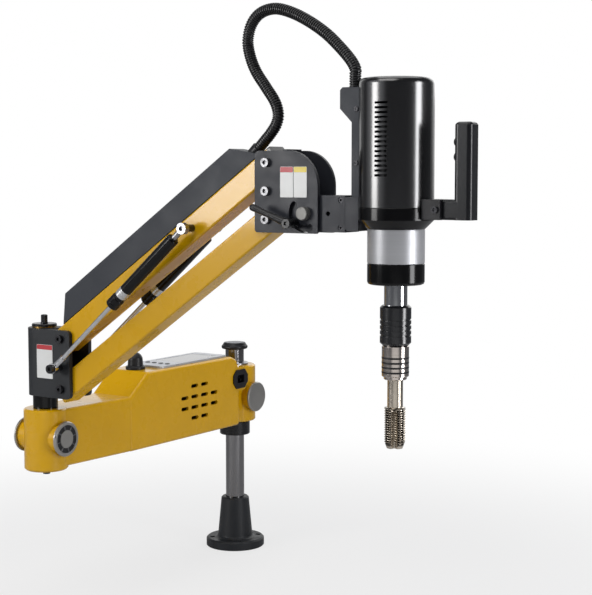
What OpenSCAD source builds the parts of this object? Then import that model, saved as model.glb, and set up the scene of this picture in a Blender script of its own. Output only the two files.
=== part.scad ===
// Arm tapping machine: a flanged column carries a cast swing arm, an elbow bracket, a
// parallelogram of two square tubes with gas springs, and a tilting tapping head.
// Origin: centre of the base flange's underside, on the column's axis. +Z up.
// At rest the cast arm lies along -Y, and the links lie along +X in the elbow's plane.

/* [Base and column] */
// Diameter of the base flange
base_d = 120; // [110:1:160]
// Thickness of the base flange
base_t = 18; // [12:1:26]
// Diameter of the neck where it leaves the flange
neck_low_d = 71; // [62:1:76]
// Diameter of the neck at its top
neck_top_d = 57; // [48:1:62]
// Height of the base, flange and neck
base_h = 103; // [60:1:140]
// Pitch circle of the four base bolts
bolt_pcd = 96; // [94:1:102]
// Diameter of a base bolt hole
bolt_hole_d = 11; // [7:0.5:12]
// Diameter of the column
column_d = 38; // [34:1:40]
// Depth of the closed floor under the column's socket
socket_floor = 8; // [5:1:12]
// Outer diameter of the stop collar under the arm
collar_d = 62; // [56:1:70]
// Height of the stop collar's underside above the base
collar_z = 235; // [140:5:300]
// Height of the stop collar
collar_h = 28; // [20:1:34]
// Diameter of the cap on top of the column
cap_d = 54; // [50:1:60]
// Height of that cap
cap_h = 14; // [12:1:20]
// Bare column between the arm's top bush and the cap
column_bare = 27; // [10:1:60]

/* [Swing arm] */
// Distance from the column's axis to the elbow's axis
arm_reach = 563; // [520:1:640]
// Diameter of the hub round the column
hub_d = 85; // [80:1:92]
// Height of that hub
hub_h = 115.5; // [110:0.5:125]
// Diameter of the hub round the elbow pin
elbow_hub_d = 76; // [72:1:84]
// How far the elbow hub hangs below the arm's underside
elbow_hub_drop = 5.5; // [4:0.5:16]
// Height of the narrow part of the arm
web_h = 101.5; // [96:0.5:106]
// Width of the narrow part of the arm at the elbow
web_w = 72; // [62:1:74]
// Width of the drive box
box_w = 100; // [92:1:110]
// Height of the drive box
box_h = 141.5; // [135:0.5:150]
// Distance from the column's axis to the near end of the drive box
box_near = 52; // [50:1:60]
// Distance from the column's axis to the far end of the drive box's roof
box_far = 342; // [338:1:350]
// Length of the ramp from the roof down to the narrow part
ramp_run = 50; // [40:1:60]
// Wall of the drive box
box_wall = 6; // [4:0.5:8]
// Rounding of the casting's long edges
cast_r = 6; // [3:0.5:8]
// Diameter of the cross boss through each hub
boss_d = 52; // [48:1:54]
// Diameter of the bore in each cross boss
boss_bore_d = 40; // [36:1:42]
// Distance from a hub's axis to the end of the elbow's cross boss
elbow_boss_x = 44; // [42:1:48]
// Distance from a hub's axis to the end of the column's cross boss
column_boss_x = 52; // [50:1:56]
// Height of the cross bosses above the arm's underside
boss_z = 51.5; // [46:0.5:56]
// Diameter of the cap on each cross boss
hub_cap_d = 61; // [56:1:64]
// Thickness of that cap's rim
hub_cap_t = 5; // [4:0.5:8]

/* [Drive box] */
// Length of a vent slot
vent_l = 22; // [14:1:26]
// Height of a vent slot
vent_h = 7; // [4:0.5:9]
// Distance between vent slots along the arm
vent_pitch_y = 31; // [27:1:33]
// Distance between rows of vent slots
vent_pitch_z = 20.7; // [14:0.1:22]
// Length of the panel on the roof
panel_l = 206; // [160:1:212]
// Width of the panel on the roof
panel_w = 80; // [66:1:86]
// Thickness of that panel
panel_t = 4; // [3:0.5:8]
// Width of the power inlet's flange, along the arm
inlet_w = 48; // [44:1:50]
// Height of the power inlet's flange
inlet_h = 38; // [34:1:42]
// Diameter of the cable gland's flange
gland_d = 37; // [28:1:40]
// Height of the cable gland
gland_h = 32; // [24:1:40]

/* [Elbow] */
// Diameter of the elbow pin
elbow_pin_d = 30; // [26:1:30]
// Diameter of the neck between hub and bracket
elbow_neck_d = 43; // [38:1:48]
// Height of that neck
elbow_neck_h = 23.7; // [16:0.1:30]
// Outer diameter of the bracket's barrel
barrel_d = 56; // [54:1:60]
// Height of the bracket
bracket_h = 117; // [114:1:130]
// Distance from the elbow's axis to the bracket's open edge
bracket_reach = 82.5; // [80:0.5:90]
// Distance from the elbow's axis to the link pivots
link_x = 62; // [58:0.5:64]

/* [Links] */
// Outer width of the square tubes
tube_w = 40; // [36:1:40]
// Wall of the square tubes
tube_wall = 3; // [2:0.5:4]
// Distance between the pivots of one link
link_len = 517; // [460:1:560]
// How far a tube runs past its pivot
link_tail = 14; // [12:1:15]
// Distance between the two links' pivots
link_gap = 86; // [84:1:90]
// Angle of the links above the horizontal at rest
link_angle = 35; // [30:1:40]
// Diameter of the pivot pins
pivot_d = 10; // [8:0.5:12]
// Outer diameter of the pivot bushes
pivot_bush_d = 18; // [15:0.5:20]
// Diameter of a pivot screw's head
pivot_head_d = 14; // [13:0.5:18]
// Height of a pivot screw's head
pivot_head_h = 6; // [4:0.5:8]
// Height of the cable cover above its tube
cover_h = 40; // [30:1:46]
// Sheet thickness of the cable cover
cover_t = 1.5; // [1:0.1:2]

/* [Gas springs] */
// Diameter of a gas spring's rod
rod_d = 8; // [6:0.5:8]
// Outer diameter of a gas spring's cylinder
cylinder_d = 20.5; // [18:0.5:22]
// Length of a gas spring's cylinder
cylinder_l = 172; // [150:1:180]
// Distance of a gas spring's plane from the links' middle plane
spring_y = 44; // [42:0.5:50]
// Distance of the lower stud above the lower link's pivot
spring_low_z = 37.4; // [30:0.2:44]
// Distance of the upper stud from the upper link's lower pivot
spring_high = 338; // [320:1:350]
// Outer diameter of a gas spring's end eye
eye_d = 18; // [15:0.5:20]

/* [Head bracket] */
// Gap between the two cheeks, also at the elbow
cheek_gap = 41; // [40.6:0.1:42]
// Thickness of a head cheek
cheek_t = 5.5; // [4:0.5:7]
// Width of a head cheek
cheek_w = 114; // [112:1:124]
// Height of a head cheek
cheek_h = 124; // [122:1:130]
// Radius of a head cheek's big corner
cheek_r = 53; // [46:1:54]
// Distance from the link pivots to the cheek's back edge
cheek_back = 21.7; // [19:0.1:24]
// Distance from the lower link pivot to the cheek's lower edge
cheek_drop = 20; // [18:1:24]
// Distance from the link pivots to the tilt axis
tilt_x = 69.3; // [68:0.1:74]
// Height of the tilt axis above the lower link pivot
tilt_z = 10; // [8:0.5:12]
// Diameter of the tilt shaft
tilt_d = 20; // [16:1:22]
// Radius of the clamp slot's middle line
slot_r = 23; // [22:0.5:25]
// Width of the clamp slot
slot_w = 11; // [10:0.5:12]
// Diameter of the clamp stud
stud_d = 8; // [6:0.5:8]
// Length of the clamp lever
lever_l = 70; // [50:1:90]

/* [Tapping head] */
// Height of the tilt bar
bar_h = 54.5; // [48:0.5:56]
// Length of the tilt bar from the tilt axis
bar_l = 67; // [62:1:80]
// Distance from the tilt axis to the spindle's axis
spindle_x = 142; // [138:1:160]
// Height of the motor bracket
saddle_h = 50; // [44:1:54]
// Width of the motor bracket
saddle_w = 48; // [42:1:52]
// Diameter of the motor housing
motor_d = 110; // [104:1:114]
// Height of the motor housing
motor_h = 186; // [178:1:205]
// Height of the spindle head's flange above the tilt axis
flange_z = 11; // [9:0.5:13]
// Straight height of that flange
flange_h = 19; // [15:1:22]
// Height of the cone under that flange
cone_h = 12.5; // [8:0.5:16]
// Diameter of the gear housing
gear_d = 84; // [76:1:88]
// Height of the gear housing
gear_h = 50; // [40:1:60]
// Height of the bearing cap under the gear housing
bearing_h = 31; // [26:1:36]
// Diameter of the spindle
spindle_d = 34; // [30:1:36]
// Bare length of the spindle above the chuck
spindle_bare = 30.5; // [24:0.5:36]
// Diameter of the chuck's sleeve
sleeve_d = 46; // [43:1:50]
// Length of the chuck's sleeve
sleeve_l = 59; // [50:1:64]
// Diameter of the tap holder
holder_d = 40; // [37:1:42]
// Length of the tap holder below the sleeve
holder_l = 50.5; // [44:0.5:56]
// Diameter of the tap's shank
shank_d = 23; // [18:1:24]
// Bare length of the tap's shank
shank_l = 42; // [34:1:50]
// Diameter of the tap's thread
tap_d = 33; // [27:1:34]
// Length of the tap's thread
tap_l = 60; // [50:1:66]
// Number of the tap's flutes
flutes = 4; // [3:1:4]

/* [Handle] */
// Distance from the spindle's axis to the grip's middle
grip_x = 112.5; // [108:0.5:120]
// Depth of the grip, along the arm
grip_a = 27.5; // [22:0.5:30]
// Width of the grip
grip_b = 28; // [24:1:32]
// Height of the grip and its foot
grip_h = 138; // [126:1:150]
// Height of the grip's foot
foot_h = 29; // [24:1:34]
// Width of the handle's clamp
clamp_w = 40; // [34:1:44]
// Diameter of a push button
button_d = 12; // [9:0.5:13]
// How far a push button stands out
button_out = 4; // [3:0.5:5]

/* [Hose] */
// Outer diameter of the ribbed hose
hose_d = 18; // [14:1:20]
// Depth of the grooves between its ribs
rib_depth = 1.5; // [0.8:0.1:2]
// Distance between its ribs
rib_pitch = 4.6; // [4:0.1:6]

/* [Hidden] */
$fn = 64;
EPS = 0.01;
cut = 1;               // how far a cutting solid runs past the face that it cuts
run_fit = 0.05;        // radial clearance of a shaft in its bush
side_gap = 0.3;        // gap between faces of pieces that turn against each other
seat_fit = 0.1;        // radial clearance of a gland or plug in its hole

// Heights that follow from the driving sizes
thrust_t = 1.5;                            // lower bush's rim, which runs on the stop collar
arm_z = collar_z + collar_h + side_gap + thrust_t;      // underside of the casting
hub_top = arm_z + hub_h;
bush_rim = 4;                              // upper bush's rim on top of the hub
cap_z = hub_top + bush_rim + column_bare;
web_top = arm_z + web_h;
box_top = arm_z + box_h;
boss_level = arm_z + boss_z;
elbow_top = web_top + 1;                   // face that the elbow's neck stands on
bracket_z = elbow_top + elbow_neck_h + side_gap;
bracket_top = bracket_z + bracket_h;
low_z = bracket_z + (bracket_h - link_gap) / 2 + 1.1;   // lower link's pivot at the elbow
high_z = low_z + link_gap;
rise = link_len * sin(link_angle);
head_x = link_x + link_len * cos(link_angle);
head_low = low_z + rise;
head_high = high_z + rise;
cheek_out = cheek_gap / 2 + cheek_t;       // outer face of a head cheek
barrel_r = barrel_d / 2;
tube_bore = tube_w - 2 * tube_wall;
bush_l = cheek_gap - 0.2;

// Tilt axis and spindle axis
tx = head_x + tilt_x;
tz = head_low + tilt_z;
sx = tx + spindle_x;
clamp_angle = 220;                         // where the clamp stud stands round the tilt axis
slot_from = 148;
slot_to = 292;
motor_z = tz + flange_z;                   // underside of the motor housing
motor_top = motor_z + motor_h;
flange_low = motor_z - flange_h;
gear_top = flange_low - cone_h;
bearing_top = gear_top - gear_h;
bearing_low = bearing_top - bearing_h;
sleeve_top = bearing_low - spindle_bare;
sleeve_low = sleeve_top - sleeve_l;
holder_low = sleeve_low - holder_l;
tap_top = holder_low - shank_l;
tap_tip = tap_top - tap_l;
foot_z = tz - 6;                           // underside of the handle's foot

// Gas spring line in the links' plane, from the lower stud to the upper one
low_stud = [link_x - 1, low_z + spring_low_z];
high_stud = [link_x + spring_high * cos(link_angle), high_z + spring_high * sin(link_angle)];
spring_l = norm(high_stud - low_stud);
spring_angle = atan2(high_stud[1] - low_stud[1], high_stud[0] - low_stud[0]);
eye_w = 10;
rod_reach = spring_l - cylinder_l + 5;     // lower eye to the piston's end
cylinder_from = spring_l - cylinder_l - 24;

YELLOW = [0.80, 0.62, 0.10];
BLACK = [0.13, 0.13, 0.14];
STEEL = [0.72, 0.72, 0.74];
BRASS = [0.75, 0.62, 0.32];
GREY = [0.62, 0.64, 0.68];

// ---------- shared shapes ----------

module at_elbow() { translate([0, -arm_reach, 0]) children(); }

// X along the link, Z square to it, origin at the link's lower pivot
module on_link(z) { at_elbow() translate([link_x, 0, z]) rotate([0, -link_angle, 0]) children(); }

// X along the gas spring, origin at its lower stud, on the side given
module on_spring(side) {
    at_elbow() translate([low_stud[0], side * spring_y, low_stud[1]])
        rotate([0, -spring_angle, 0]) children();
}

module at_tilt() { at_elbow() translate([tx, 0, tz]) children(); }

module at_spindle(z) { at_elbow() translate([sx, 0, z]) children(); }

// Cylinder along +Y from y0 to y1
module bar_y(d, y0, y1) { translate([0, y0, 0]) rotate([-90, 0, 0]) cylinder(d = d, h = y1 - y0); }

// Cylinder along +X from x0 to x1
module bar_x(d, x0, x1) { translate([x0, 0, 0]) rotate([0, 90, 0]) cylinder(d = d, h = x1 - x0); }

// Square with round corners, made of true arcs
module round_rect(w, h, r) {
    square([w - 2 * r, h], center = true);
    square([w, h - 2 * r], center = true);
    for (x = [-1, 1], y = [-1, 1])
        translate([x * (w / 2 - r), y * (h / 2 - r)]) circle(r = r);
}

// Disc from z 0 to h, chamfered round its top and bottom edges
module edged_disc(d, h, low, high) {
    rotate_extrude() polygon([[0, 0], [d / 2 - low, 0], [d / 2, low], [d / 2, h - high],
        [d / 2 - high, h], [0, h]]);
}

// Socket head screw along +Y: the head's face at y = 0, the shank behind it
module cap_screw(head_d, head_h, d, l) {
    difference() {
        union() {
            bar_y(head_d, 0, head_h);
            bar_y(d, head_h - EPS, head_h + l);
        }
        translate([0, -cut, 0]) rotate([-90, 0, 0]) cylinder(d = head_d * 0.5, h = cut + head_h * 0.55, $fn = 6);
    }
}

// ---------- base and column ----------

module base_flange() {
    neck = [for (a = [0 : 15 : 90]) [neck_low_d / 2 + 7 * (1 - sin(a)), base_t + 7 * (1 - cos(a))]];
    color(BLACK) difference() {
        rotate_extrude($fn = 96) polygon(concat(
            [[0, 0], [base_d / 2 - 1.5, 0], [base_d / 2, 1.5], [base_d / 2, base_t - 3],
             [base_d / 2 - 3, base_t]],
            neck,
            [[neck_top_d / 2, base_h - 2.5], [neck_top_d / 2 - 2.5, base_h], [0, base_h]]));
        translate([0, 0, socket_floor]) cylinder(d = column_d, h = base_h);
        for (a = [45 : 90 : 315]) rotate(a) translate([bolt_pcd / 2, 0, -cut])
            cylinder(d = bolt_hole_d, h = base_t + 2 * cut);
    }
}

module column() {
    top = cap_z + cap_h * 0.55;
    color(STEEL) translate([0, 0, socket_floor])
        rotate_extrude() polygon([[0, 0], [column_d / 2 - 1, 0], [column_d / 2, 1],
            [column_d / 2, top - socket_floor - 1.5], [column_d / 2 - 1.5, top - socket_floor],
            [0, top - socket_floor]]);
}

collar_gap = 3;
collar_screw_r = (column_d + collar_d) / 4 + 1;    // screw's distance from the column's axis

module at_collar_screw() {
    translate([0, 0, collar_z + collar_h / 2]) rotate(135) translate([collar_screw_r, 0, 0]) children();
}

module stop_collar() {
    color(BLACK) difference() {
        translate([0, 0, collar_z]) rotate_extrude() polygon([
            [column_d / 2, 1], [column_d / 2 + 1, 0], [collar_d / 2 - 1.5, 0], [collar_d / 2, 1.5],
            [collar_d / 2, collar_h - 1.5], [collar_d / 2 - 1.5, collar_h],
            [column_d / 2 + 1, collar_h], [column_d / 2, collar_h - 1]]);
        translate([0, 0, collar_z - cut]) rotate(135) translate([0, -collar_gap / 2, 0])
            cube([collar_d, collar_gap, collar_h + 2 * cut]);
        at_collar_screw() {
            bar_y(6, -20, 20);
            bar_y(10.4, -30, -9);
        }
    }
}

module collar_screw() {
    color(STEEL) at_collar_screw() translate([0, -15, 0]) cap_screw(10, 6, 6 - 2 * run_fit, 20);
}

module column_cap() {
    r = cap_d / 2;
    rim = [for (a = [-80 : 20 : 80]) [r - 3 + 3 * cos(a), cap_h / 2 - 2 + 4 * sin(a)]];
    color(BLACK) translate([0, 0, cap_z]) difference() {
        rotate_extrude() polygon(concat([[0, 0], [r - 7, 0]], rim,
            [[r - 4.5, cap_h - 1], [r - 5.5, cap_h], [0, cap_h]]));
        translate([0, 0, -cut]) cylinder(d = column_d, h = cut + cap_h * 0.55);
        translate([0, 0, cap_h - 1.6]) cylinder(d = cap_d - 14, h = 2 * cut + 1);
    }
}

module cap_disc() {
    color(GREY) translate([0, 0, cap_z + cap_h - 1.6]) edged_disc(cap_d - 14.2, 2, 0.01, 0.4);
}

// ---------- swing arm ----------

module cast_ball(x, y, z) {
    for (s = [-1, 1]) translate([s * (x - cast_r), y, z]) sphere(r = cast_r, $fn = 24);
}

module box_shell() {
    r = cast_r;
    hull() {
        cast_ball(box_w / 2, -box_near - r, arm_z + r);
        cast_ball(box_w / 2, -box_near - r, box_top - 26);
        cast_ball(box_w / 2, -box_near - r - 8, box_top - 11);
        cast_ball(box_w / 2, -box_near - 26, box_top - r);
        cast_ball(box_w / 2 - 2, -box_far + r, box_top - r);
        cast_ball(box_w / 2 - 3, -box_far - ramp_run + r, web_top - r);
        cast_ball(box_w / 2 - 2, -box_far - ramp_run + r, arm_z + r);
    }
}

module web_shell() {
    r = cast_r;
    hull() for (z = [arm_z + r, web_top - r]) {
        cast_ball(web_w / 2, -arm_reach, z);
        cast_ball(box_w / 2 - 3, -box_far - ramp_run + 3 * r, z);
    }
}

module hub_bridge() {
    w = hub_d - 13;
    hull() for (z = [arm_z + cast_r, hub_top - 2 - cast_r]) {
        cast_ball(w / 2, -box_near - 12, z);
        cast_ball(w / 2, -18, z);
    }
}

inlet_y = -(box_near - 0.5);               // middle of the power inlet along the arm
inlet_z = arm_z + 94.5;
pad_x = box_w / 2;

module inlet_outline(w, h) {
    c = h * 0.26;
    polygon([[-w / 2, -h / 2 + c * 1.2], [-w / 2 + c, -h / 2], [w / 2 - c, -h / 2],
        [w / 2, -h / 2 + c * 1.2], [w / 2, h / 2 - c * 1.2], [w / 2 - c, h / 2],
        [-w / 2 + c, h / 2], [-w / 2, h / 2 - c * 1.2]]);
}

// Solid from x0 to x1 with an outline drawn along Y and Z
module inlet_prism(w, h, x0, x1) {
    translate([x0, inlet_y, inlet_z]) rotate([90, 0, 90]) linear_extrude(x1 - x0) inlet_outline(w, h);
}

module vents() {
    mid_y = -184.7;
    mid_z = arm_z + 67.6;
    for (row = [0 : 3], col = [0 : 3])
        if (row == 1 || row == 2 || col == 1 || col == 2)
            translate([box_w / 2 - box_wall - cut - 3, mid_y + (col - 1.5) * vent_pitch_y,
                mid_z + (row - 1.5) * vent_pitch_z])
                rotate([90, 0, 90]) linear_extrude(box_wall + 6 + 2 * cut)
                    round_rect(vent_l, vent_h, vent_h / 2 - EPS);
}

panel_mid = -185;
cavity_from = box_near + 10;
cavity_to = box_far - 12;
gland_y = -(box_far - 23);

module arm_casting() {
    color(YELLOW) difference() {
        union() {
            translate([0, 0, arm_z]) edged_disc(hub_d, hub_h, 2, 3);
            at_elbow() translate([0, 0, arm_z - elbow_hub_drop])
                edged_disc(elbow_hub_d, web_h + elbow_hub_drop + 1, 3, 2.5);
            box_shell();
            web_shell();
            hub_bridge();
            translate([0, 0, boss_level]) bar_x(boss_d, -column_boss_x, column_boss_x);
            at_elbow() translate([0, 0, boss_level]) bar_x(boss_d, -elbow_boss_x, elbow_boss_x);
            inlet_prism(inlet_w + 12, inlet_h + 10, 0, pad_x);
        }
        translate([0, 0, arm_z - cut]) cylinder(d = bush_od, h = hub_h + 2 * cut);
        at_elbow() translate([0, 0, arm_z - elbow_hub_drop - cut])
            cylinder(d = elbow_pin_d, h = web_h + elbow_hub_drop + 2 * cut + 1);
        for (s = [-1, 1]) {
            translate([s * (bush_od / 2 + 4), 0, boss_level]) bar_x(boss_bore_d, min(0, s * hub_d), max(0, s * hub_d));
            at_elbow() translate([s * (elbow_pin_d / 2 + 5), 0, boss_level])
                bar_x(boss_bore_d, min(0, s * hub_d), max(0, s * hub_d));
        }
        translate([-box_w / 2 + box_wall, -cavity_to, arm_z + box_wall])
            cube([box_w - 2 * box_wall, cavity_to - cavity_from, box_h - 2 * box_wall]);
        translate([-panel_w / 2 + 6, panel_mid - panel_l / 2 + 6, box_top - box_wall - cut])
            cube([panel_w - 12, panel_l - 12, box_wall + 2 * cut]);
        translate([0, gland_y, box_top - box_wall - cut]) cylinder(d = 20, h = box_wall + 2 * cut);
        vents();
        inlet_prism(inlet_w - 12, inlet_h - 12, pad_x - 20, pad_x + cut);
    }
}

bush_wall = 4;
bush_od = column_d + 2 * bush_wall;
bush_len = 30;

module column_bushes() {
    color(BRASS) {
        difference() {
            union() {
                translate([0, 0, hub_top - bush_len]) cylinder(d = bush_od, h = bush_len + EPS);
                translate([0, 0, hub_top]) edged_disc(bush_od + 10, bush_rim, EPS, 1);
            }
            translate([0, 0, hub_top - bush_len - cut])
                cylinder(d = column_d + 2 * run_fit, h = bush_len + bush_rim + 2 * cut);
        }
        difference() {
            union() {
                translate([0, 0, arm_z]) cylinder(d = bush_od, h = bush_len);
                translate([0, 0, arm_z - thrust_t]) cylinder(d = bush_od + 10, h = thrust_t + EPS);
            }
            translate([0, 0, arm_z - thrust_t - cut])
                cylinder(d = column_d + 2 * run_fit, h = bush_len + thrust_t + 2 * cut);
        }
    }
}

// Cap with its seat at x = 0, facing +X; the elbow's caps have a ring groove
module hub_cap(groove) {
    r = hub_cap_d / 2;
    rotate([0, 90, 0]) difference() {
        union() {
            rotate_extrude() polygon([[0, 0], [r - 1, 0], [r, 1], [r, hub_cap_t - 1.8],
                [r - 1.8, hub_cap_t], [0, hub_cap_t]]);
            translate([0, 0, -7]) cylinder(d = boss_bore_d, h = 7 + EPS);
        }
        if (groove) translate([0, 0, hub_cap_t - 1.5]) difference() {
            cylinder(r = r - 6, h = 1.5 + cut);
            translate([0, 0, -cut]) cylinder(r = r - 15, h = 1.5 + 3 * cut);
        }
    }
}

module hub_caps() {
    color(STEEL) for (s = [0, 1]) mirror([s, 0, 0]) {
        translate([column_boss_x, 0, boss_level]) hub_cap(false);
        at_elbow() translate([elbow_boss_x, 0, boss_level]) hub_cap(true);
    }
}

inlet_face = 3;
module inlet_body() {
    color(BLACK) difference() {
        union() {
            inlet_prism(inlet_w, inlet_h, pad_x, pad_x + inlet_face);
            inlet_prism(inlet_w - 12.4, inlet_h - 12.4, pad_x - 19, pad_x + EPS);
        }
        translate([pad_x - 13, inlet_y - 12, inlet_z - 8]) cube([14 + inlet_face, 24, 16]);
    }
}

module inlet_pins() {
    color(BRASS) for (p = [[-7, -2], [0, 3], [7, -2]])
        translate([pad_x - 13, inlet_y + p[0] - 1, inlet_z + p[1] - 2]) cube([11, 2, 4]);
}

module top_panel() {
    color(GREY) translate([0, panel_mid, box_top]) difference() {
        union() {
            linear_extrude(panel_t) round_rect(panel_w, panel_l, 5);
            translate([0, 0, -box_wall]) linear_extrude(box_wall + EPS)
                round_rect(panel_w - 12.6, panel_l - 12.6, 2);
        }
        translate([0, 22, panel_t - 1.2]) linear_extrude(cut + 1.2) round_rect(panel_w - 18, 120, 3);
        for (i = [0 : 3]) translate([(i - 1.5) * 16, -68, panel_t - 0.8])
            cylinder(d = 10, h = cut + 0.8, $fn = 24);
    }
}

module cable_gland() {
    r = gland_d / 2;
    dome = [for (a = [0 : 15 : 90]) [(r - 4) * cos(a) * 0.96, gland_h - 14 + 14 * sin(a)]];
    color(BLACK) translate([0, gland_y, box_top]) {
        rotate_extrude() polygon(concat([[0, 0], [r - 0.6, 0], [r, 0.8], [r, 5], [r - 1.4, 6.4],
            [r - 4, 6.6]], dome));
        translate([0, 0, -box_wall - 4]) cylinder(d = 20, h = box_wall + 4 + EPS);
    }
}

module servo_drive() {
    l = 170;
    w = 58;
    h = 96;
    floor_z = arm_z + box_wall;
    color(GREY) translate([-6, panel_mid, floor_z]) {
        translate([-w / 2, -l / 2, 6]) cube([w - 14, l, h]);
        for (i = [0 : 11]) translate([w / 2 - 14 - EPS, -l / 2 + 2 + i * (l - 6) / 11, 10])
            cube([12, 2.4, h - 8]);
        for (x = [-w / 2 + 8, w / 2 - 22], y = [-l / 2 + 10, l / 2 - 10])
            translate([x, y, 0]) cylinder(d = 9, h = 6 + EPS, $fn = 24);
    }
}

// ---------- elbow ----------

elbow_low = arm_z - elbow_hub_drop;
disc_t = 4.5;
washer_t = 2;
elbow_bolt_h = 9;                          // head of the bolt under the elbow's hub
pin_top = bracket_top + side_gap + washer_t;

module elbow_pin() {
    color(STEEL) at_elbow() translate([0, 0, elbow_low])
        cylinder(d = elbow_pin_d, h = pin_top - elbow_low);
}

module elbow_neck() {
    color(BLACK) at_elbow() translate([0, 0, elbow_top]) difference() {
        edged_disc(elbow_neck_d, elbow_neck_h, EPS, 1);
        translate([0, 0, -cut]) cylinder(d = elbow_pin_d, h = elbow_neck_h + 2 * cut);
    }
}

module elbow_washer() {
    color(BRASS) at_elbow() translate([0, 0, bracket_top + side_gap]) difference() {
        cylinder(d = elbow_neck_d - 2, h = washer_t);
        translate([0, 0, -cut]) cylinder(d = elbow_pin_d, h = washer_t + 2 * cut);
    }
}

module elbow_disc() {
    color(BLACK) at_elbow() translate([0, 0, pin_top]) edged_disc(elbow_neck_d, disc_t, EPS, 1.2);
}

module elbow_screws() {
    color(BLACK) at_elbow() {
        translate([0, 0, pin_top + disc_t]) difference() {
            union() {
                cylinder(d = 13, h = 2);
                edged_disc(11.5, 15, EPS, 1);
            }
            translate([0, 0, 9]) cylinder(d = 6, h = 7, $fn = 6);
        }
        translate([0, 0, elbow_low - elbow_bolt_h]) difference() {
            edged_disc(13, elbow_bolt_h, 0.8, EPS);
            translate([0, 0, -cut]) cylinder(d = 6, h = cut + 3, $fn = 6);
        }
    }
}

module bracket_plan() {
    circle(d = barrel_d);
    translate([0, -barrel_r]) square([bracket_reach - 6, barrel_d]);
}

elbow_bush_wall = 3;

module elbow_bracket() {
    slot_back = barrel_r + 3;
    color(BLACK) at_elbow() difference() {
        union() {
            translate([0, 0, bracket_z]) linear_extrude(bracket_h) circle(d = barrel_d);
            translate([0, barrel_r, bracket_z]) rotate([90, 0, 0]) linear_extrude(barrel_d) {
                translate([bracket_reach / 2, bracket_h / 2]) round_rect(bracket_reach, bracket_h, 8);
                square([bracket_reach / 2, bracket_h]);
            }
        }
        translate([slot_back, -cheek_gap / 2, bracket_z - cut])
            cube([bracket_reach, cheek_gap, bracket_h + 2 * cut]);
        translate([0, 0, bracket_z - cut])
            cylinder(d = elbow_pin_d + 2 * elbow_bush_wall, h = bracket_h + 2 * cut);
        for (z = [low_z, high_z]) translate([link_x, 0, z]) bar_y(pivot_d, -barrel_d, barrel_d);
        translate([low_stud[0], 0, low_stud[1]]) {
            bar_y(8, -barrel_d, -cheek_gap / 2 + cut);
            bar_y(8, cheek_gap / 2 - cut, barrel_d);
        }
    }
}

module elbow_bushes() {
    color(BRASS) at_elbow() for (z = [bracket_z, bracket_top - 34]) translate([0, 0, z]) difference() {
        cylinder(d = elbow_pin_d + 2 * elbow_bush_wall, h = 34);
        translate([0, 0, -cut]) cylinder(d = elbow_pin_d + 2 * run_fit, h = 34 + 2 * cut);
    }
}

// Pivot screw through two cheeks whose outer faces lie at -half and +half
module pivot_screw(half) {
    translate([0, -half - pivot_head_h, 0]) cap_screw(pivot_head_d, pivot_head_h, pivot_d, 2 * half + 9);
    translate([0, half, 0]) rotate([-90, 30, 0]) difference() {
        cylinder(d = 19, h = 8, $fn = 6);
        translate([0, 0, -cut]) cylinder(d = pivot_d, h = 8 + 2 * cut);
    }
}

module elbow_pivot_pins() {
    color(STEEL) at_elbow() for (z = [low_z, high_z]) translate([link_x, 0, z]) pivot_screw(barrel_r);
}

// Stud on the -Y side: a spacer from the cheek, then the shank through the eye and a head
module low_stud_shape() {
    eye_in = spring_y - eye_w / 2;
    bar_y(12, -eye_in + side_gap, -barrel_r);
    bar_y(8 - 2 * run_fit, -spring_y - eye_w / 2 - 0.4, -cheek_gap / 2 - 1.5);
    translate([0, -spring_y - eye_w / 2 - side_gap - 6, 0]) cap_screw(15, 6, 6, 1);
}

module spring_studs_low() {
    color(BLACK) at_elbow() translate([low_stud[0], 0, low_stud[1]])
        for (s = [0, 1]) mirror([0, s, 0]) low_stud_shape();
}

// ---------- links ----------

module link_tube(z) {
    on_link(z) difference() {
        translate([-link_tail, 0, 0]) rotate([90, 0, 90])
            linear_extrude(link_len + 2 * link_tail) round_rect(tube_w, tube_w, 3);
        translate([-link_tail + 2, 0, 0]) rotate([90, 0, 90])
            linear_extrude(link_len + 2 * link_tail - 4) square(tube_bore, center = true);
        for (x = [0, link_len]) translate([x, 0, 0]) bar_y(pivot_bush_d, -tube_w, tube_w);
    }
}

module link_bush() {
    difference() {
        bar_y(pivot_bush_d, -bush_l / 2, bush_l / 2);
        bar_y(pivot_d + 2 * run_fit, -tube_w, tube_w);
    }
}

module upper_link() { color(YELLOW) link_tube(high_z); }

module lower_link() { color(YELLOW) link_tube(low_z); }

module upper_bushes() {
    color(BRASS) on_link(high_z) for (x = [0, link_len]) translate([x, 0, 0]) link_bush();
}

module lower_bushes() {
    color(BRASS) on_link(low_z) for (x = [0, link_len]) translate([x, 0, 0]) link_bush();
}

cover_low = tube_w / 2;
cover_high = cover_low + cover_h;
// Side view of the cover in link coordinates, taken in by t on every side but the lower one
function cover_side(t) = [
    [15 + 1.4 * t, cover_low - (t > 0 ? cut : 0)],
    [49 + 1.1 * t, cover_high - t],
    [link_len - 48 - 0.9 * t, cover_high - t],
    [link_len - 8 - 1.3 * t, cover_low + 2],
    [link_len - 8 - 1.3 * t, cover_low - (t > 0 ? cut : 0)]];

// Where the ribbed hose leaves the cover, in the links' plane, and its direction
hose_exit = [head_x - 30.7, head_high + 23];
hose_out = 45;
gland_len = 17;

// Origin of the round grommet in the cover's lower end, +X level and into the cover
module at_grommet() { translate([27, 0, cover_low + 9.5]) rotate([0, link_angle, 0]) children(); }

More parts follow.
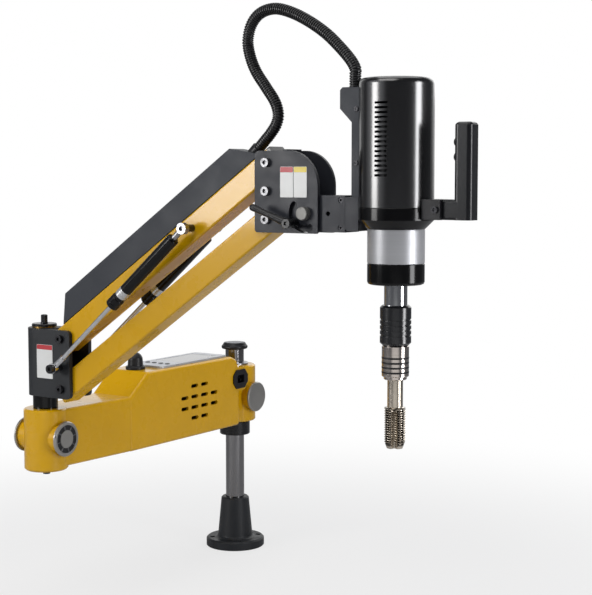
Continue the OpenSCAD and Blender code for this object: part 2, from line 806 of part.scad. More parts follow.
module cable_cover() {
    color(BLACK) difference() {
        on_link(high_z) difference() {
            translate([0, tube_w / 2, 0]) rotate([90, 0, 0]) linear_extrude(tube_w) polygon(cover_side(0));
            translate([0, tube_w / 2 - cover_t, 0]) rotate([90, 0, 0])
                linear_extrude(tube_w - 2 * cover_t) polygon(cover_side(cover_t));
            at_grommet() bar_x(14 + 2 * seat_fit, -30, 10);
        }
        at_elbow() translate([hose_exit[0], 0, hose_exit[1]]) rotate([0, 90 - hose_out, 0])
            translate([0, 0, -40]) cylinder(d = hose_d + 4 + 2 * seat_fit, h = 41);
    }
}

module cover_glands() {
    color(BLACK) {
        at_elbow() translate([hose_exit[0], 0, hose_exit[1]]) rotate([0, 90 - hose_out, 0])
            translate([0, 0, -gland_len]) difference() {
                edged_disc(hose_d + 4, gland_len, EPS, 1);
                translate([0, 0, -cut]) cylinder(d = hose_d - 6, h = gland_len + 2 * cut);
            }
        on_link(high_z) at_grommet() translate([-15, 0, 0]) rotate([0, 90, 0]) rotate_extrude() polygon(
                concat([[0, 0]], [for (a = [15 : 15 : 90]) [10 * sin(a), 6 - 6 * cos(a)]],
                [[10, 8.6], [7, 8.8], [7, 16], [0, 16]]));
    }
}

module spring_studs_high() {
    reach = spring_y - eye_w / 2 - side_gap;
    color(BLACK) on_link(high_z) translate([spring_high, 0, 0]) {
        bar_y(12, -reach, -tube_w / 2);
        bar_y(12, tube_w / 2, reach);
    }
}

// ---------- gas springs ----------

module gas_rod(side) {
    on_spring(side) difference() {
        union() {
            bar_y(eye_d, -eye_w / 2, eye_w / 2);
            bar_x(eye_w, 5, 30);
            bar_x(rod_d, 28, rod_reach);
            bar_x(cylinder_d - 3.6, rod_reach, rod_reach + 9);
        }
        bar_y(8, -eye_d, eye_d);
    }
}

module gas_cylinder(side) {
    bore = cylinder_d - 3.5;
    color(BLACK) on_spring(side) difference() {
        translate([cylinder_from, 0, 0]) rotate([0, 90, 0]) edged_disc(cylinder_d, cylinder_l, 1.5, 2);
        bar_x(bore, cylinder_from + 8, cylinder_from + cylinder_l - 6);
        bar_x(rod_d + 2 * run_fit, cylinder_from - cut, cylinder_from + 9);
    }
}

module gas_eye(side) {
    color(STEEL) on_spring(side) difference() {
        union() {
            translate([spring_l, 0, 0]) bar_y(eye_d, -eye_w / 2, eye_w / 2);
            bar_x(eye_w, cylinder_from + cylinder_l, spring_l - 4);
        }
        translate([spring_l, 0, 0]) bar_y(8, -eye_d, -1);
    }
}

module gas_rod_near() { color(STEEL) gas_rod(-1); }
module gas_rod_far() { color(STEEL) gas_rod(1); }
module gas_cylinder_near() { gas_cylinder(-1); }
module gas_cylinder_far() { gas_cylinder(1); }
module gas_eye_near() { gas_eye(-1); }
module gas_eye_far() { mirror_spring() gas_eye(-1); }

// Mirrors about the links' middle plane
module mirror_spring() { at_elbow() mirror([0, 1, 0]) translate([0, arm_reach, 0]) children(); }

// ---------- head bracket ----------

module cheek_plan() {
    x0 = head_x - cheek_back;
    z0 = head_low - cheek_drop;
    x1 = x0 + cheek_w;
    z1 = z0 + cheek_h;
    arc = [for (a = [0 : 6 : 90]) [x1 - cheek_r + cheek_r * cos(a), z1 - cheek_r + cheek_r * sin(a)]];
    polygon(concat([[x0 + 3, z0], [x1 - 3, z0], [x1, z0 + 3]], arc,
        [[x0 + 7, z1], [x0 + 2, z1 - 2], [x0, z1 - 7], [x0, z0 + 3]]));
}

// Outline of the curved slot round the tilt axis
function about(a, r) = r * [cos(a), sin(a)];
slot_outline = concat(
    [for (a = [slot_from : 6 : slot_to]) about(a, slot_r + slot_w / 2)],
    [for (b = [15 : 15 : 165]) about(slot_to, slot_r) + about(slot_to + b, slot_w / 2)],
    [for (a = [slot_to : -6 : slot_from]) about(a, slot_r - slot_w / 2)],
    [for (b = [15 : 15 : 165]) about(slot_from, slot_r) + about(slot_from + 180 + b, slot_w / 2)]);

web_x = head_x + 26.5;
web_t = 7;

module head_bracket() {
    middle = (head_low + head_high) / 2;
    z0 = head_low - cheek_drop;
    color(BLACK) difference() {
        union() {
            for (s = [-1, 1]) at_elbow()
                translate([0, s * (cheek_gap + cheek_t) / 2 + cheek_t / 2, 0]) rotate([90, 0, 0])
                    linear_extrude(cheek_t) difference() {
                        cheek_plan();
                        translate([tx, tz]) polygon(slot_outline);
                    }
            at_elbow() translate([web_x, -cheek_gap / 2 - EPS, z0 + 6])
                cube([web_t, cheek_gap + 2 * EPS, cheek_h - 4]);
        }
        for (z = [head_low, middle, head_high]) at_elbow() translate([head_x, 0, z])
            bar_y(pivot_d, -2 * cheek_gap, 2 * cheek_gap);
        at_tilt() bar_y(tilt_d + 2 * run_fit, -2 * cheek_gap, 2 * cheek_gap);
        at_tilt() translate([6.5, 0, -21]) bar_y(6, -2 * cheek_gap, 0);
    }
}

module head_pivot_pins() {
    color(STEEL) at_elbow() for (z = [head_low, (head_low + head_high) / 2, head_high])
        translate([head_x, 0, z]) pivot_screw(cheek_out);
}

// ---------- tilting head ----------

module tilt_bar() {
    color(BLACK) at_tilt() difference() {
        translate([0, tube_w / 2, 0]) rotate([90, 0, 0]) linear_extrude(tube_w) {
            circle(d = bar_h);
            translate([0, -bar_h / 2]) square([bar_l, bar_h]);
        }
        bar_y(tilt_d, -tube_w, tube_w);
        rotate([0, -clamp_angle, 0]) translate([slot_r, 0, 0]) bar_y(stud_d, -tube_w, tube_w);
        translate([37.5, 0, 0]) bar_y(7, -tube_w, -tube_w / 2 + 12);
        for (z = [-1, 1]) translate([bar_l - 8, 0, z * 20.5]) bar_y(8 + 2 * seat_fit, -tube_w, -tube_w / 2 + 6.1);
    }
}

module tilt_shaft() {
    color(STEEL) at_tilt() translate([0, -cheek_out - 10, 0]) rotate([-90, 0, 0])
        edged_disc(tilt_d, 2 * cheek_out + 16, 1, 1);
}

lever_base = cheek_out + 0.4;
lever_face = lever_base + 25;

module at_clamp() { at_tilt() rotate([0, -clamp_angle, 0]) translate([slot_r, 0, 0]) children(); }

module clamp_stud() {
    color(STEEL) at_clamp() {
        bar_y(stud_d - 2 * run_fit, -lever_face + 5, -tube_w / 2);
        bar_y(stud_d, -tube_w / 2, tube_w / 2);
        bar_y(stud_d - 2 * run_fit, tube_w / 2, cheek_out + 10);
        translate([0, cheek_out + 0.4, 0]) rotate([-90, 0, 0]) difference() {
            cylinder(d = 16, h = 7, $fn = 6);
            translate([0, 0, -cut]) cylinder(d = stud_d - 2 * run_fit, h = 7 + 2 * cut);
        }
    }
}

lever_angle = 159;                        // direction of the lever in the links' plane

module clamp_lever() {
    color(BLACK) at_elbow() translate([tx + slot_r * cos(clamp_angle), 0, tz + slot_r * sin(clamp_angle)])
        difference() {
            union() {
                translate([0, -lever_base, 0]) rotate([90, 0, 0]) rotate_extrude() polygon([
                    [0, 0], [7.5, 0], [8, 0.6], [6.5, 12], [8, 17], [8, 24], [7, 25], [0, 25]]);
                rotate([0, -lever_angle, 0]) hull() {
                    translate([3, -lever_face + 7, 0]) sphere(d = 13, $fn = 24);
                    translate([lever_l * 0.55, -lever_face + 3, 0]) sphere(d = 9, $fn = 24);
                }
                rotate([0, -lever_angle, 0]) hull() {
                    translate([lever_l * 0.55, -lever_face + 3, 0]) sphere(d = 9, $fn = 24);
                    translate([lever_l - 5.5, -lever_face + 2, 0]) sphere(d = 11, $fn = 24);
                }
            }
            bar_y(stud_d, -lever_face + 4.5, -lever_base + cut);
            bar_y(6, -lever_face - 2 * cut, -lever_face + 2.5);
        }
}

saddle_x = bar_l;

module motor_bracket() {
    color(BLACK) difference() {
        at_tilt() {
            translate([saddle_x, -18, -bar_h / 2 + 4]) cube([4, 36, bar_h - 8]);
            translate([saddle_x + 2.5, -saddle_w / 2, -saddle_h / 2])
                cube([spindle_x - saddle_x - 12, saddle_w, saddle_h]);
        }
        at_spindle(flange_low - cut) cylinder(d = motor_d + 1, h = 200);
        at_spindle(tz - 100) cylinder(d = motor_d + 1, h = flange_low + 1 - tz + 100);
        at_tilt() translate([saddle_x + 2.5, -saddle_w, -saddle_h / 2 - 4])
            rotate([0, 30, 0]) translate([-6, 0, -10]) cube([6, 2 * saddle_w, 16]);
    }
}

module motor_flange() {
    r = motor_d / 2 + 0.5;
    color(BLACK) at_spindle(gear_top) rotate_extrude($fn = 96) polygon([
        [0, 0], [gear_d / 2, 0], [gear_d / 2 + 1, 0.6], [r - 1.5, cone_h - 0.8], [r, cone_h + 0.6],
        [r, cone_h + flange_h - 1], [r - 1, cone_h + flange_h], [0, cone_h + flange_h]]);
}

housing_wall = 4;
slot_low = 46;                             // lowest vent slot above the flange
slot_pitch = 6.85;
slot_h = 3.4;
core_h = 128;                              // height of the motor's core
core_cap_h = 30;                           // height of the narrower part on it
core_step = 8;
motor_round = 9;

module motor_housing() {
    r = motor_d / 2;
    shoulder = [for (a = [0 : 10 : 90]) [r - motor_round + motor_round * cos(a),
        motor_h - motor_round + motor_round * sin(a)]];
    rows = 16;
    color(BLACK) at_spindle(motor_z) difference() {
        rotate_extrude($fn = 96) polygon(concat([[0, 0], [r, 0]], shoulder, [[0, motor_h]]));
        translate([0, 0, -cut]) cylinder(r = r - housing_wall, h = motor_h - housing_wall + cut);
        for (i = [0 : rows - 1]) translate([0, 0, slot_low + i * slot_pitch]) rotate(-85 - 10.5)
            rotate_extrude(angle = 21) translate([r - housing_wall - cut, -slot_h / 2])
                square([housing_wall + 2 * cut, slot_h]);
    }
}

core_r = motor_d / 2 - housing_wall - core_step / 2;

module servo_motor() {
    color(STEEL) at_spindle(motor_z) difference() {
        union() {
            cylinder(r = core_r, h = core_h);
            translate([0, 0, core_h - EPS]) cylinder(r = core_r - core_step, h = core_cap_h);
        }
        for (a = [0 : 20 : 340]) rotate(a) translate([core_r, 0, 1.5 * core_step])
            cylinder(d = core_step / 2, h = core_h, $fn = 16);
    }
}

conduit_w = 44;
conduit_leg = 8;                           // how far the cover's leg stands out from the housing
conduit_out = 20;                          // how far its upper part stands out from the leg
step_low = 51;                             // slope between leg and upper part, below the top
step_high = 31;
conduit_screw = 4;                         // depth of its screw holes
conduit_screw_x = 4.5;                     // a screw's distance from the housing's skin
conduit_screw_low = 50;
conduit_screw_high = 32;

conduit_skin = sqrt(pow(motor_d / 2, 2) - pow(conduit_w / 2, 2));

module conduit_cover() {
    lo = tz + saddle_h / 2;
    left = spindle_x - motor_d / 2 - conduit_leg;
    wide = left - conduit_out;
    top = motor_top - 12;
    color(BLACK) difference() {
        at_tilt() translate([0, conduit_w / 2, -tz]) rotate([90, 0, 0]) linear_extrude(conduit_w)
            polygon([[left + 2, lo], [left, lo + 2], [left, top - step_low], [wide, top - step_high], [wide, top - 4],
                [wide + 4, top], [left + 3 * conduit_leg, top], [left + 3 * conduit_leg, lo]]);
        at_spindle(lo - cut) cylinder(d = motor_d + 0.2, h = 200, $fn = 96);
        at_elbow() translate([hose_end[0], 0, top - 14]) cylinder(d = hose_d - 6, h = 20);
        for (z = [lo + conduit_screw_low, top - conduit_screw_high]) at_spindle(z)
            translate([-conduit_skin - conduit_screw_x, 0, 0])
                bar_y(4 + 2 * seat_fit, -conduit_w / 2 - cut, -conduit_w / 2 + conduit_screw);
    }
}

module head_screws() {
    lo = tz + saddle_h / 2;
    top = motor_top - 12;
    color(STEEL) {
        for (z = [lo + conduit_screw_low, top - conduit_screw_high]) at_spindle(z)
            translate([-conduit_skin - conduit_screw_x, -conduit_w / 2 - 2, 0])
                cap_screw(7, 2, 4, conduit_screw - side_gap);
        for (z = [-1, 1]) at_tilt() translate([bar_l - 8, -tube_w / 2 + 1, z * 20.5]) cap_screw(8, 5, 4, 0.01);
        at_spindle(foot_z + foot_h / 2) translate([73.5, -clamp_w / 2 - 3, 0]) cap_screw(10, 3, 6, 12);
    }
}

module gear_housing() {
    color(STEEL) at_spindle(bearing_top) edged_disc(gear_d, gear_h, 0.6, 0.6);
}

rim_d = spindle_d + 10;
rim_t = 6;

module bearing_cap() {
    r = gear_d / 2;
    color(BLACK) at_spindle(bearing_low) difference() {
        rotate_extrude() polygon([[0, 0], [r - 4, 0], [r - 1.2, 1.2], [r, 4], [r, bearing_h - 1],
            [r - 1, bearing_h], [0, bearing_h]]);
        translate([0, 0, -cut]) cylinder(d = spindle_d + 2 * run_fit, h = bearing_h + 2 * cut);
        translate([0, 0, bearing_h - rim_t - 1]) cylinder(d = rim_d + 1, h = rim_t + 2);
    }
}

socket_d = 22;
socket_h = 46;

module spindle() {
    bottom = sleeve_low;
    top = bearing_top - side_gap;
    color(STEEL) at_spindle(0) difference() {
        union() {
            translate([0, 0, bottom]) cylinder(d = spindle_d, h = top - bottom);
            translate([0, 0, top - rim_t]) cylinder(d = rim_d, h = rim_t);
        }
        translate([0, 0, bottom - cut]) cylinder(d = socket_d, h = socket_h + cut);
    }
}

// Groove round a body of diameter d at height z
module ring_groove(d, z, w, depth) {
    translate([0, 0, z]) difference() {
        cylinder(d = d + 4, h = w);
        translate([0, 0, -cut]) cylinder(d = d - 2 * depth, h = w + 2 * cut);
    }
}

module chuck_sleeve() {
    color(BLACK) at_spindle(sleeve_low) difference() {
        edged_disc(sleeve_d, sleeve_l, 4, 3);
        translate([0, 0, -cut]) cylinder(d = spindle_d + 2 * run_fit, h = sleeve_l + 2 * cut);
        for (i = [0 : 3]) ring_groove(sleeve_d, 14 + i * 7.6, 2.6, 1.3);
    }
}

module tap_holder() {
    lip = 4.5;
    color(STEEL) at_spindle(holder_low) difference() {
        union() {
            edged_disc(holder_d - 6, lip + 1, 1, EPS);
            translate([0, 0, lip]) edged_disc(holder_d, holder_l - lip - side_gap, 1, 1);
            translate([0, 0, holder_l - side_gap - EPS]) cylinder(d = socket_d - 0.2, h = socket_h - 3);
        }
        translate([0, 0, -cut]) cylinder(d = shank_d, h = 31);
        for (i = [0 : 3]) ring_groove(holder_d, 10 + i * 7.1, 2.2, 1);
    }
}

module tap() {
    lead = 9;
    root = tap_d / 2;
    color(STEEL) at_spindle(tap_tip) difference() {
        union() {
            rotate_extrude() polygon([[0, 0], [root - 5, 0], [root - 1, lead], [root, lead + 4],
                [root, tap_l - 2], [shank_d / 2, tap_l], [0, tap_l]]);
            translate([0, 0, tap_l - EPS]) cylinder(d = shank_d, h = shank_l + 30);
        }
        for (k = [0 : flutes - 1]) rotate(k * 360 / flutes + 20) {
            translate([root + 0.5, 0, -cut]) cylinder(d = 12, h = tap_l - 2);
            translate([root + 0.5, 0, tap_l - 3]) rotate([0, 0, 0]) sphere(d = 12, $fn = 32);
        }
    }
}

// ---------- handle ----------

module handle_clamp() {
    right = grip_x - grip_a / 2 - 17;
    color(BLACK) difference() {
        at_spindle(foot_z) union() {
            translate([40, -clamp_w / 2, 0]) cube([right - 40, clamp_w, foot_h]);
        }
        at_spindle(foot_z - cut) cylinder(d = motor_d + 1.2, h = foot_h + 2 * cut, $fn = 96);
        at_spindle(foot_z + foot_h / 2) translate([73.5, 0, 0]) bar_y(6 + 2 * seat_fit, -clamp_w / 2 - cut, -clamp_w / 2 + 12.5);
    }
}

grip_edge = 4;                             // rounding of the grip's top
grip_r = 7;
button_low_z = 89;                         // lower button above the foot's underside
button_step = 21;
button_zs = [foot_z + button_low_z, foot_z + button_low_z + button_step];
grip_inner = grip_x - grip_a / 2;

module handle_grip() {
    left = grip_x - grip_a / 2 - 17;
    color(BLACK) difference() {
        at_spindle(foot_z) {
            translate([grip_x, 0, 0]) {
                linear_extrude(grip_h - grip_edge) round_rect(grip_a, grip_b, grip_r);
                hull() {
                    translate([0, 0, grip_h - grip_edge - 1]) linear_extrude(1) round_rect(grip_a, grip_b, grip_r);
                    translate([0, 0, grip_h - grip_edge * 0.4]) linear_extrude(EPS)
                        round_rect(grip_a - grip_edge * 0.7, grip_b - grip_edge * 0.7, grip_r);
                    translate([0, 0, grip_h - EPS]) linear_extrude(EPS)
                        round_rect(grip_a - 2 * grip_edge, grip_b - 2 * grip_edge, grip_r - grip_edge / 2);
                }
            }
            translate([left, 0, foot_h / 2]) rotate([90, 0, 90])
                linear_extrude(grip_x - left) round_rect(grip_b, foot_h, 4);
        }
        for (z = button_zs) at_spindle(z)
            bar_x(button_d + 2 * run_fit, grip_inner - cut, grip_inner + 11);
    }
}

module button(z) {
    color(BLACK) at_spindle(z) translate([grip_inner - button_out, 0, 0]) rotate([0, 90, 0])
        edged_disc(button_d, button_out + 7, 1, EPS);
}

module button_high() { button(button_zs[1]); }
module button_low() { button(button_zs[0]); }

// ---------- ribbed hose ----------

hose_end = [sx - 70, motor_top - 12];      // top of the conduit cover
hose_top = [484, 1023];                    // where the two stretches meet
first_run = hose_d * 1.1;
// Points chosen by hand, in the links' plane, as X and Z
hose_low_route = [hose_exit, hose_exit + first_run * [cos(hose_out), sin(hose_out)],
    hose_exit + 1.4 * first_run * [cos(hose_out), sin(hose_out)], [486, 848], [490, 864], [484, 883], [467, 906], [449, 930], [438, 954], [434, 978],
    [441, 1002], [458, 1018], hose_top, [513, 1016]];
hose_high_route = [[458, 1018], hose_top, [513, 1016], [545, 1001], [576, 981], [601, 959],
    [619, 940], hose_end + [0, 1.4 * first_run], hose_end + [0, first_run], hose_end];

// Point on the spline segment from b to c, at share t
function spline(a, b, c, d, t) =
    0.5 * (2 * b + (c - a) * t + (2 * a - 5 * b + 4 * c - d) * t * t + (3 * b - a - 3 * c + d) * t * t * t);
function spline_dir(a, b, c, d, t) =
    0.5 * ((c - a) + 2 * (2 * a - 5 * b + 4 * c - d) * t + 3 * (3 * b - a - 3 * c + d) * t * t);
// Rows of [point, direction] at half rib steps along the route between its points i0 and i1
function stations(p, i0, i1) = [for (i = [i0 : i1 - 1])
    let (a = i > 0 ? p[i - 1] : 2 * p[0] - p[1],
         d = i < len(p) - 2 ? p[i + 2] : 2 * p[len(p) - 1] - p[len(p) - 2],
         n = max(1, round(norm(p[i + 1] - p[i]) / rib_pitch)))
    for (k = [0 : 2 * n - (i == i1 - 1 ? 0 : 1)])
        [spline(a, p[i], p[i + 1], d, k / (2 * n)), spline_dir(a, p[i], p[i + 1], d, k / (2 * n))]];

SIDES = 8;
function ring(s, r) = let (t = s[1] / norm(s[1])) [for (k = [0 : SIDES - 1])
    let (c = r * cos(k * 360 / SIDES), y = r * sin(k * 360 / SIDES))
    [s[0][0] - t[1] * c, y, s[0][1] + t[0] * c]];

// Tube with a bore: outer rings, then inner rings at every second station
module hose_tube(st) {
    n = len(st);
    inner = [for (i = [0 : 2 : n - 1]) st[i]];
    m = len(inner);
    points = concat(
        [for (i = [0 : n - 1]) each ring(st[i], hose_d / 2 - (i % 2 == 1 ? rib_depth : 0))],
        [for (s = inner) each ring(s, hose_d / 2 - 3)]);
    o = n * SIDES;
    faces = concat(
        [for (i = [0 : n - 2], k = [0 : SIDES - 1]) let (a = i * SIDES + k, b = i * SIDES + (k + 1) % SIDES)
            each [[a, b, b + SIDES], [a, b + SIDES, a + SIDES]]],
        [for (i = [0 : m - 2], k = [0 : SIDES - 1])
            let (a = o + i * SIDES + k, b = o + i * SIDES + (k + 1) % SIDES)
            each [[a, b + SIDES, b], [a, a + SIDES, b + SIDES]]],
        [for (k = [0 : SIDES - 1]) let (j = (k + 1) % SIDES) each [[k, o + k, o + j], [k, o + j, j]]],
        [for (k = [0 : SIDES - 1]) let (j = (k + 1) % SIDES, a = (n - 1) * SIDES, b = o + (m - 1) * SIDES)
            each [[a + k, b + j, b + k], [a + k, a + j, b + j]]]);
    color(BLACK) at_elbow() polyhedron(points, faces);
}

module hose_low() { hose_tube(stations(hose_low_route, 0, len(hose_low_route) - 2)); }
module hose_high() { hose_tube(stations(hose_high_route, 1, len(hose_high_route) - 1)); }

base_flange();
column();
stop_collar();
collar_screw();
column_cap();
cap_disc();
arm_casting();
column_bushes();
hub_caps();
inlet_body();
inlet_pins();
top_panel();
cable_gland();
servo_drive();
elbow_pin();
elbow_neck();
elbow_washer();
elbow_disc();
elbow_screws();
elbow_bracket();
elbow_bushes();
elbow_pivot_pins();
spring_studs_low();
upper_link();
upper_bushes();
cable_cover();
cover_glands();
spring_studs_high();
hose_low();
lower_link();
lower_bushes();
gas_rod_near();
gas_rod_far();
gas_cylinder_near();
gas_cylinder_far();
gas_eye_near();
gas_eye_far();
head_bracket();
head_pivot_pins();
hose_high();
tilt_bar();
tilt_shaft();
clamp_stud();
motor_bracket();
motor_flange();
motor_housing();
servo_motor();
conduit_cover();
head_screws();
gear_housing();
bearing_cap();
handle_clamp();
handle_grip();
clamp_lever();
spindle();
tap_holder();
tap();
chuck_sleeve();
button_high();
button_low();
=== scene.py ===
import math

import bmesh
import bpy
from mathutils import Matrix, Vector


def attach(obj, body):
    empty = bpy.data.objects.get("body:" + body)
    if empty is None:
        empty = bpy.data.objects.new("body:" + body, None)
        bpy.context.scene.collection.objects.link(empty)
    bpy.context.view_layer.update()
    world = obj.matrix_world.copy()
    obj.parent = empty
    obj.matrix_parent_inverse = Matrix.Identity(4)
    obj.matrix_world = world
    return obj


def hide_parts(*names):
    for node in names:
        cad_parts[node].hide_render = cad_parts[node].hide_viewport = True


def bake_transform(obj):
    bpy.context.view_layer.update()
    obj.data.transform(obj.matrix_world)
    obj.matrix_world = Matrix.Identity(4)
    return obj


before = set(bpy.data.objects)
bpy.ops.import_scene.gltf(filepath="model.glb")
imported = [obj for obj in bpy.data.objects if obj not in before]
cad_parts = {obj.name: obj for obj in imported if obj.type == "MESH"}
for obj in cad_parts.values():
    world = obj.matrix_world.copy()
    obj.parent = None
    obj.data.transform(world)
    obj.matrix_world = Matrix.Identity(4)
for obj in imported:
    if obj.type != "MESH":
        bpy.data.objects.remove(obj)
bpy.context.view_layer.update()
scene = bpy.context.scene

# ---------------------------------------------------------------- sizes, in metres, as part.scad has them
YE = -0.563                     # plane of the elbow, the links and the head
ARM_Z = 0.2648                  # underside of the casting
WEB_H, BOX_H = 0.1015, 0.1415   # the casting's web and its drive box
BOX_TOP = ARM_Z + BOX_H
PANEL_TOP = BOX_TOP + 0.004
NECK_FOOT, NECK_H, SIDE_GAP = 0.001, 0.0237, 0.0003
BRACKET_Z = ARM_Z + WEB_H + NECK_FOOT + NECK_H + SIDE_GAP
PIVOT_LIFT, PIVOT_SHIFT = 0.0155, 0.0011    # the lower link's pivot over the bracket's underside
LINK_GAP = 0.086                # from the lower link's pivot to the upper link's
LOW_Z = BRACKET_Z + PIVOT_LIFT + PIVOT_SHIFT
HIGH_Z = LOW_Z + LINK_GAP
LINK_X, LINK_L, LINK_A = 0.062, 0.517, math.radians(35)
HEAD_X = LINK_X + LINK_L * math.cos(LINK_A)
HEAD_LOW = LOW_Z + LINK_L * math.sin(LINK_A)
HEAD_HIGH = HEAD_LOW + LINK_GAP
TILT_X, TILT_Z, SPINDLE_X = 0.0693, 0.010, 0.142
SX = HEAD_X + TILT_X + SPINDLE_X            # the spindle's axis
FLANGE_Z, MOTOR_H = 0.011, 0.186
MOTOR_Z = HEAD_LOW + TILT_Z + FLANGE_Z      # underside of the motor's housing
MOTOR_TOP = MOTOR_Z + MOTOR_H
FLANGE_H, CONE_H, GEAR_H, BEARING_H = 0.019, 0.0125, 0.050, 0.031
SPINDLE_BARE, SLEEVE_L, HOLDER_L = 0.0305, 0.059, 0.0505
HOLDER_LOW = MOTOR_Z - FLANGE_H - CONE_H - GEAR_H - BEARING_H - SPINDLE_BARE - SLEEVE_L - HOLDER_L
SHANK_L, TAP_L = 0.042, 0.060
TAP_TIP = HOLDER_LOW - SHANK_L - TAP_L

AXIS_X, AXIS_Y, AXIS_Z = Vector((1, 0, 0)), Vector((0, 1, 0)), Vector((0, 0, 1))

# ---------------------------------------------------------------- settings of the camera, lights and backdrop
TURN, DOWN = math.radians(33.33), math.radians(5.06)     # the camera looks left of +Y and down
CAMERA_AT, SENSOR, LENS, CLIP = (1.7152, -2.3769, 0.7772), 36.0, 86.23, (0.05, 60)

WHITE, STUDIO_TINT, BOX_TINT = (1, 1, 1, 1), (0.90, 0.93, 1.0, 1), (0.93, 0.95, 1.0, 1)
WORLD_SOFT, WORLD_DARK, SOFT_BOX = 0.24, 0.07, 0.85      # strengths of the fill, the dim sides, the soft box
BACKDROP_SPAN, SOFT_BOX_SPAN = (0.45, 1.0), (0.78, 0.97)    # cosines over which each one fades in
SOFT_BOX_AT = (-0.640, -0.762, 0.10)

FLOOR_HALF, FLOOR_DROP, FLOOR_ROUGH, FLOOR_CLOUD = 30, -0.0005, 0.8, 1.5
FLOOR_LOW, FLOOR_HIGH = (0.46, 0.46, 0.47, 1), (0.50, 0.50, 0.50, 1)
# how white the floor is to the camera and in reflections: centre, two distances from it, the shares at them
SHOWN_AT, SHOWN_SPAN, SHOWN_WHITE = (0.2, -0.3, 0), (0.5, 1.7), (0.72, 1.0)
MIRROR_AT, MIRROR_SPAN, MIRROR_WHITE = (2.4, -3.6, 0), (1.5, 2.4), (1.0, 0.0)

# name, place, aim, watts, width, height, colour
LIGHTS = (
    ("key", (0.4, -2.4, 3.0), (0.3, -0.45, 0.5), 43, 2.4, 1.8, (1.0, 0.99, 0.97)),
    ("side", (1.95, -0.41, 0.66), (0.72, -0.56, 0.68), 15, 0.42, 0.95, (0.98, 0.98, 1.0)),
    ("left", (-1.05, -2.65, 0.95), (0.35, -0.56, 0.62), 24, 0.9, 0.7, (1.0, 0.99, 0.98)),
    ("top", (0.3, 0.1, 3.2), (0.3, -0.4, 0.5), 26, 2.2, 2.2, (1, 1, 1)),
    ("back", (0.4, 2.4, 1.8), (0.3, -0.4, 0.6), 14, 2.0, 1.6, (1, 1, 1)),
)


# ---------------------------------------------------------------- node helpers
def new_node(tree, kind, values=None, operation=None):
    """A node of that kind. values are its inputs' by name or number."""
    n = tree.nodes.new(kind)
    if operation:
        n.operation = operation
    for key, value in (values or {}).items():
        n.inputs[key].default_value = value
    return n


def map_range(tree, value, start, end, low=0.0, high=1.0, kind="SMOOTHSTEP"):
    """From low to high as the value goes from start to end."""
    ends = {"From Min": start, "From Max": end, "To Min": low, "To Max": high}
    n = new_node(tree, "ShaderNodeMapRange", ends)
    n.interpolation_type = kind
    tree.links.new(value, n.inputs["Value"])
    return n.outputs["Result"]


def colour_ramp(tree, value, stops):
    """The colour of a value, from stops of (position, colour) in their order."""
    n = tree.nodes.new("ShaderNodeValToRGB")
    e = n.color_ramp.elements
    e[0].position, e[0].color = stops[0]
    e[1].position, e[1].color = stops[-1]
    for at, colour in stops[1:-1]:
        e.new(at).color = colour
    tree.links.new(value, n.inputs["Fac"])
    return n.outputs["Color"]


def mix_shader(tree, factor, a, b):
    n = tree.nodes.new("ShaderNodeMixShader")
    tree.links.new(factor, n.inputs["Fac"])
    tree.links.new(a, n.inputs[1])
    tree.links.new(b, n.inputs[2])
    return n.outputs["Shader"]


# ---------------------------------------------------------------- camera, lights and backdrop
def add_object(name, data, place, look):
    """A camera or light at place that looks along a direction."""
    o = bpy.data.objects.new(name, data)
    scene.collection.objects.link(o)
    o.location = place
    o.rotation_mode = "QUATERNION"
    o.rotation_quaternion = look.to_track_quat("-Z", "Y")
    return o


def make_camera():
    data = bpy.data.cameras.new("camera")
    data.sensor_width, data.lens = SENSOR, LENS
    data.clip_start, data.clip_end = CLIP
    look = Vector((-math.sin(TURN) * math.cos(DOWN), math.cos(TURN) * math.cos(DOWN), -math.sin(DOWN)))
    scene.camera = add_object("camera", data, CAMERA_AT, look)


def make_lights():
    for name, place, aim, power, wide, high, colour in LIGHTS:
        data = bpy.data.lights.new(name, "AREA")
        data.energy, data.color = power, colour
        data.shape, data.size, data.size_y = "RECTANGLE", wide, high
        add_object(name, data, place, Vector(aim) - Vector(place))


def make_world():
    """White for the camera, an even fill for diffuse light, and for reflections a dim studio that has white
    behind the object and a soft box on its left."""
    world = bpy.data.worlds.new("studio")
    scene.world = world
    world.use_nodes = True
    t = world.node_tree
    t.nodes.clear()
    out = t.nodes.new("ShaderNodeOutputWorld")
    rays = t.nodes.new("ShaderNodeLightPath")
    co = t.nodes.new("ShaderNodeTexCoord")

    def background(colour, strength):
        n = new_node(t, "ShaderNodeBackground", {"Color": colour, "Strength": strength})
        return n.outputs["Background"]

    def facing(direction, span):
        """0 to 1 as a ray turns to that direction."""
        dot = new_node(t, "ShaderNodeVectorMath", {1: direction}, operation="DOT_PRODUCT")
        t.links.new(co.outputs["Generated"], dot.inputs[0])
        return map_range(t, dot.outputs["Value"], *span)

    white = background(WHITE, 1.0)
    soft = background(STUDIO_TINT, WORLD_SOFT)
    behind = facing((-math.sin(TURN), math.cos(TURN), 0), BACKDROP_SPAN)
    sides = mix_shader(t, facing(SOFT_BOX_AT, SOFT_BOX_SPAN), background(STUDIO_TINT, WORLD_DARK),
                       background(BOX_TINT, SOFT_BOX))
    mirrored = mix_shader(t, behind, sides, white)
    seen = mix_shader(t, rays.outputs["Is Glossy Ray"], soft, mirrored)
    seen = mix_shader(t, rays.outputs["Is Transmission Ray"], seen, mirrored)
    t.links.new(mix_shader(t, rays.outputs["Is Camera Ray"], seen, white), out.inputs["Surface"])


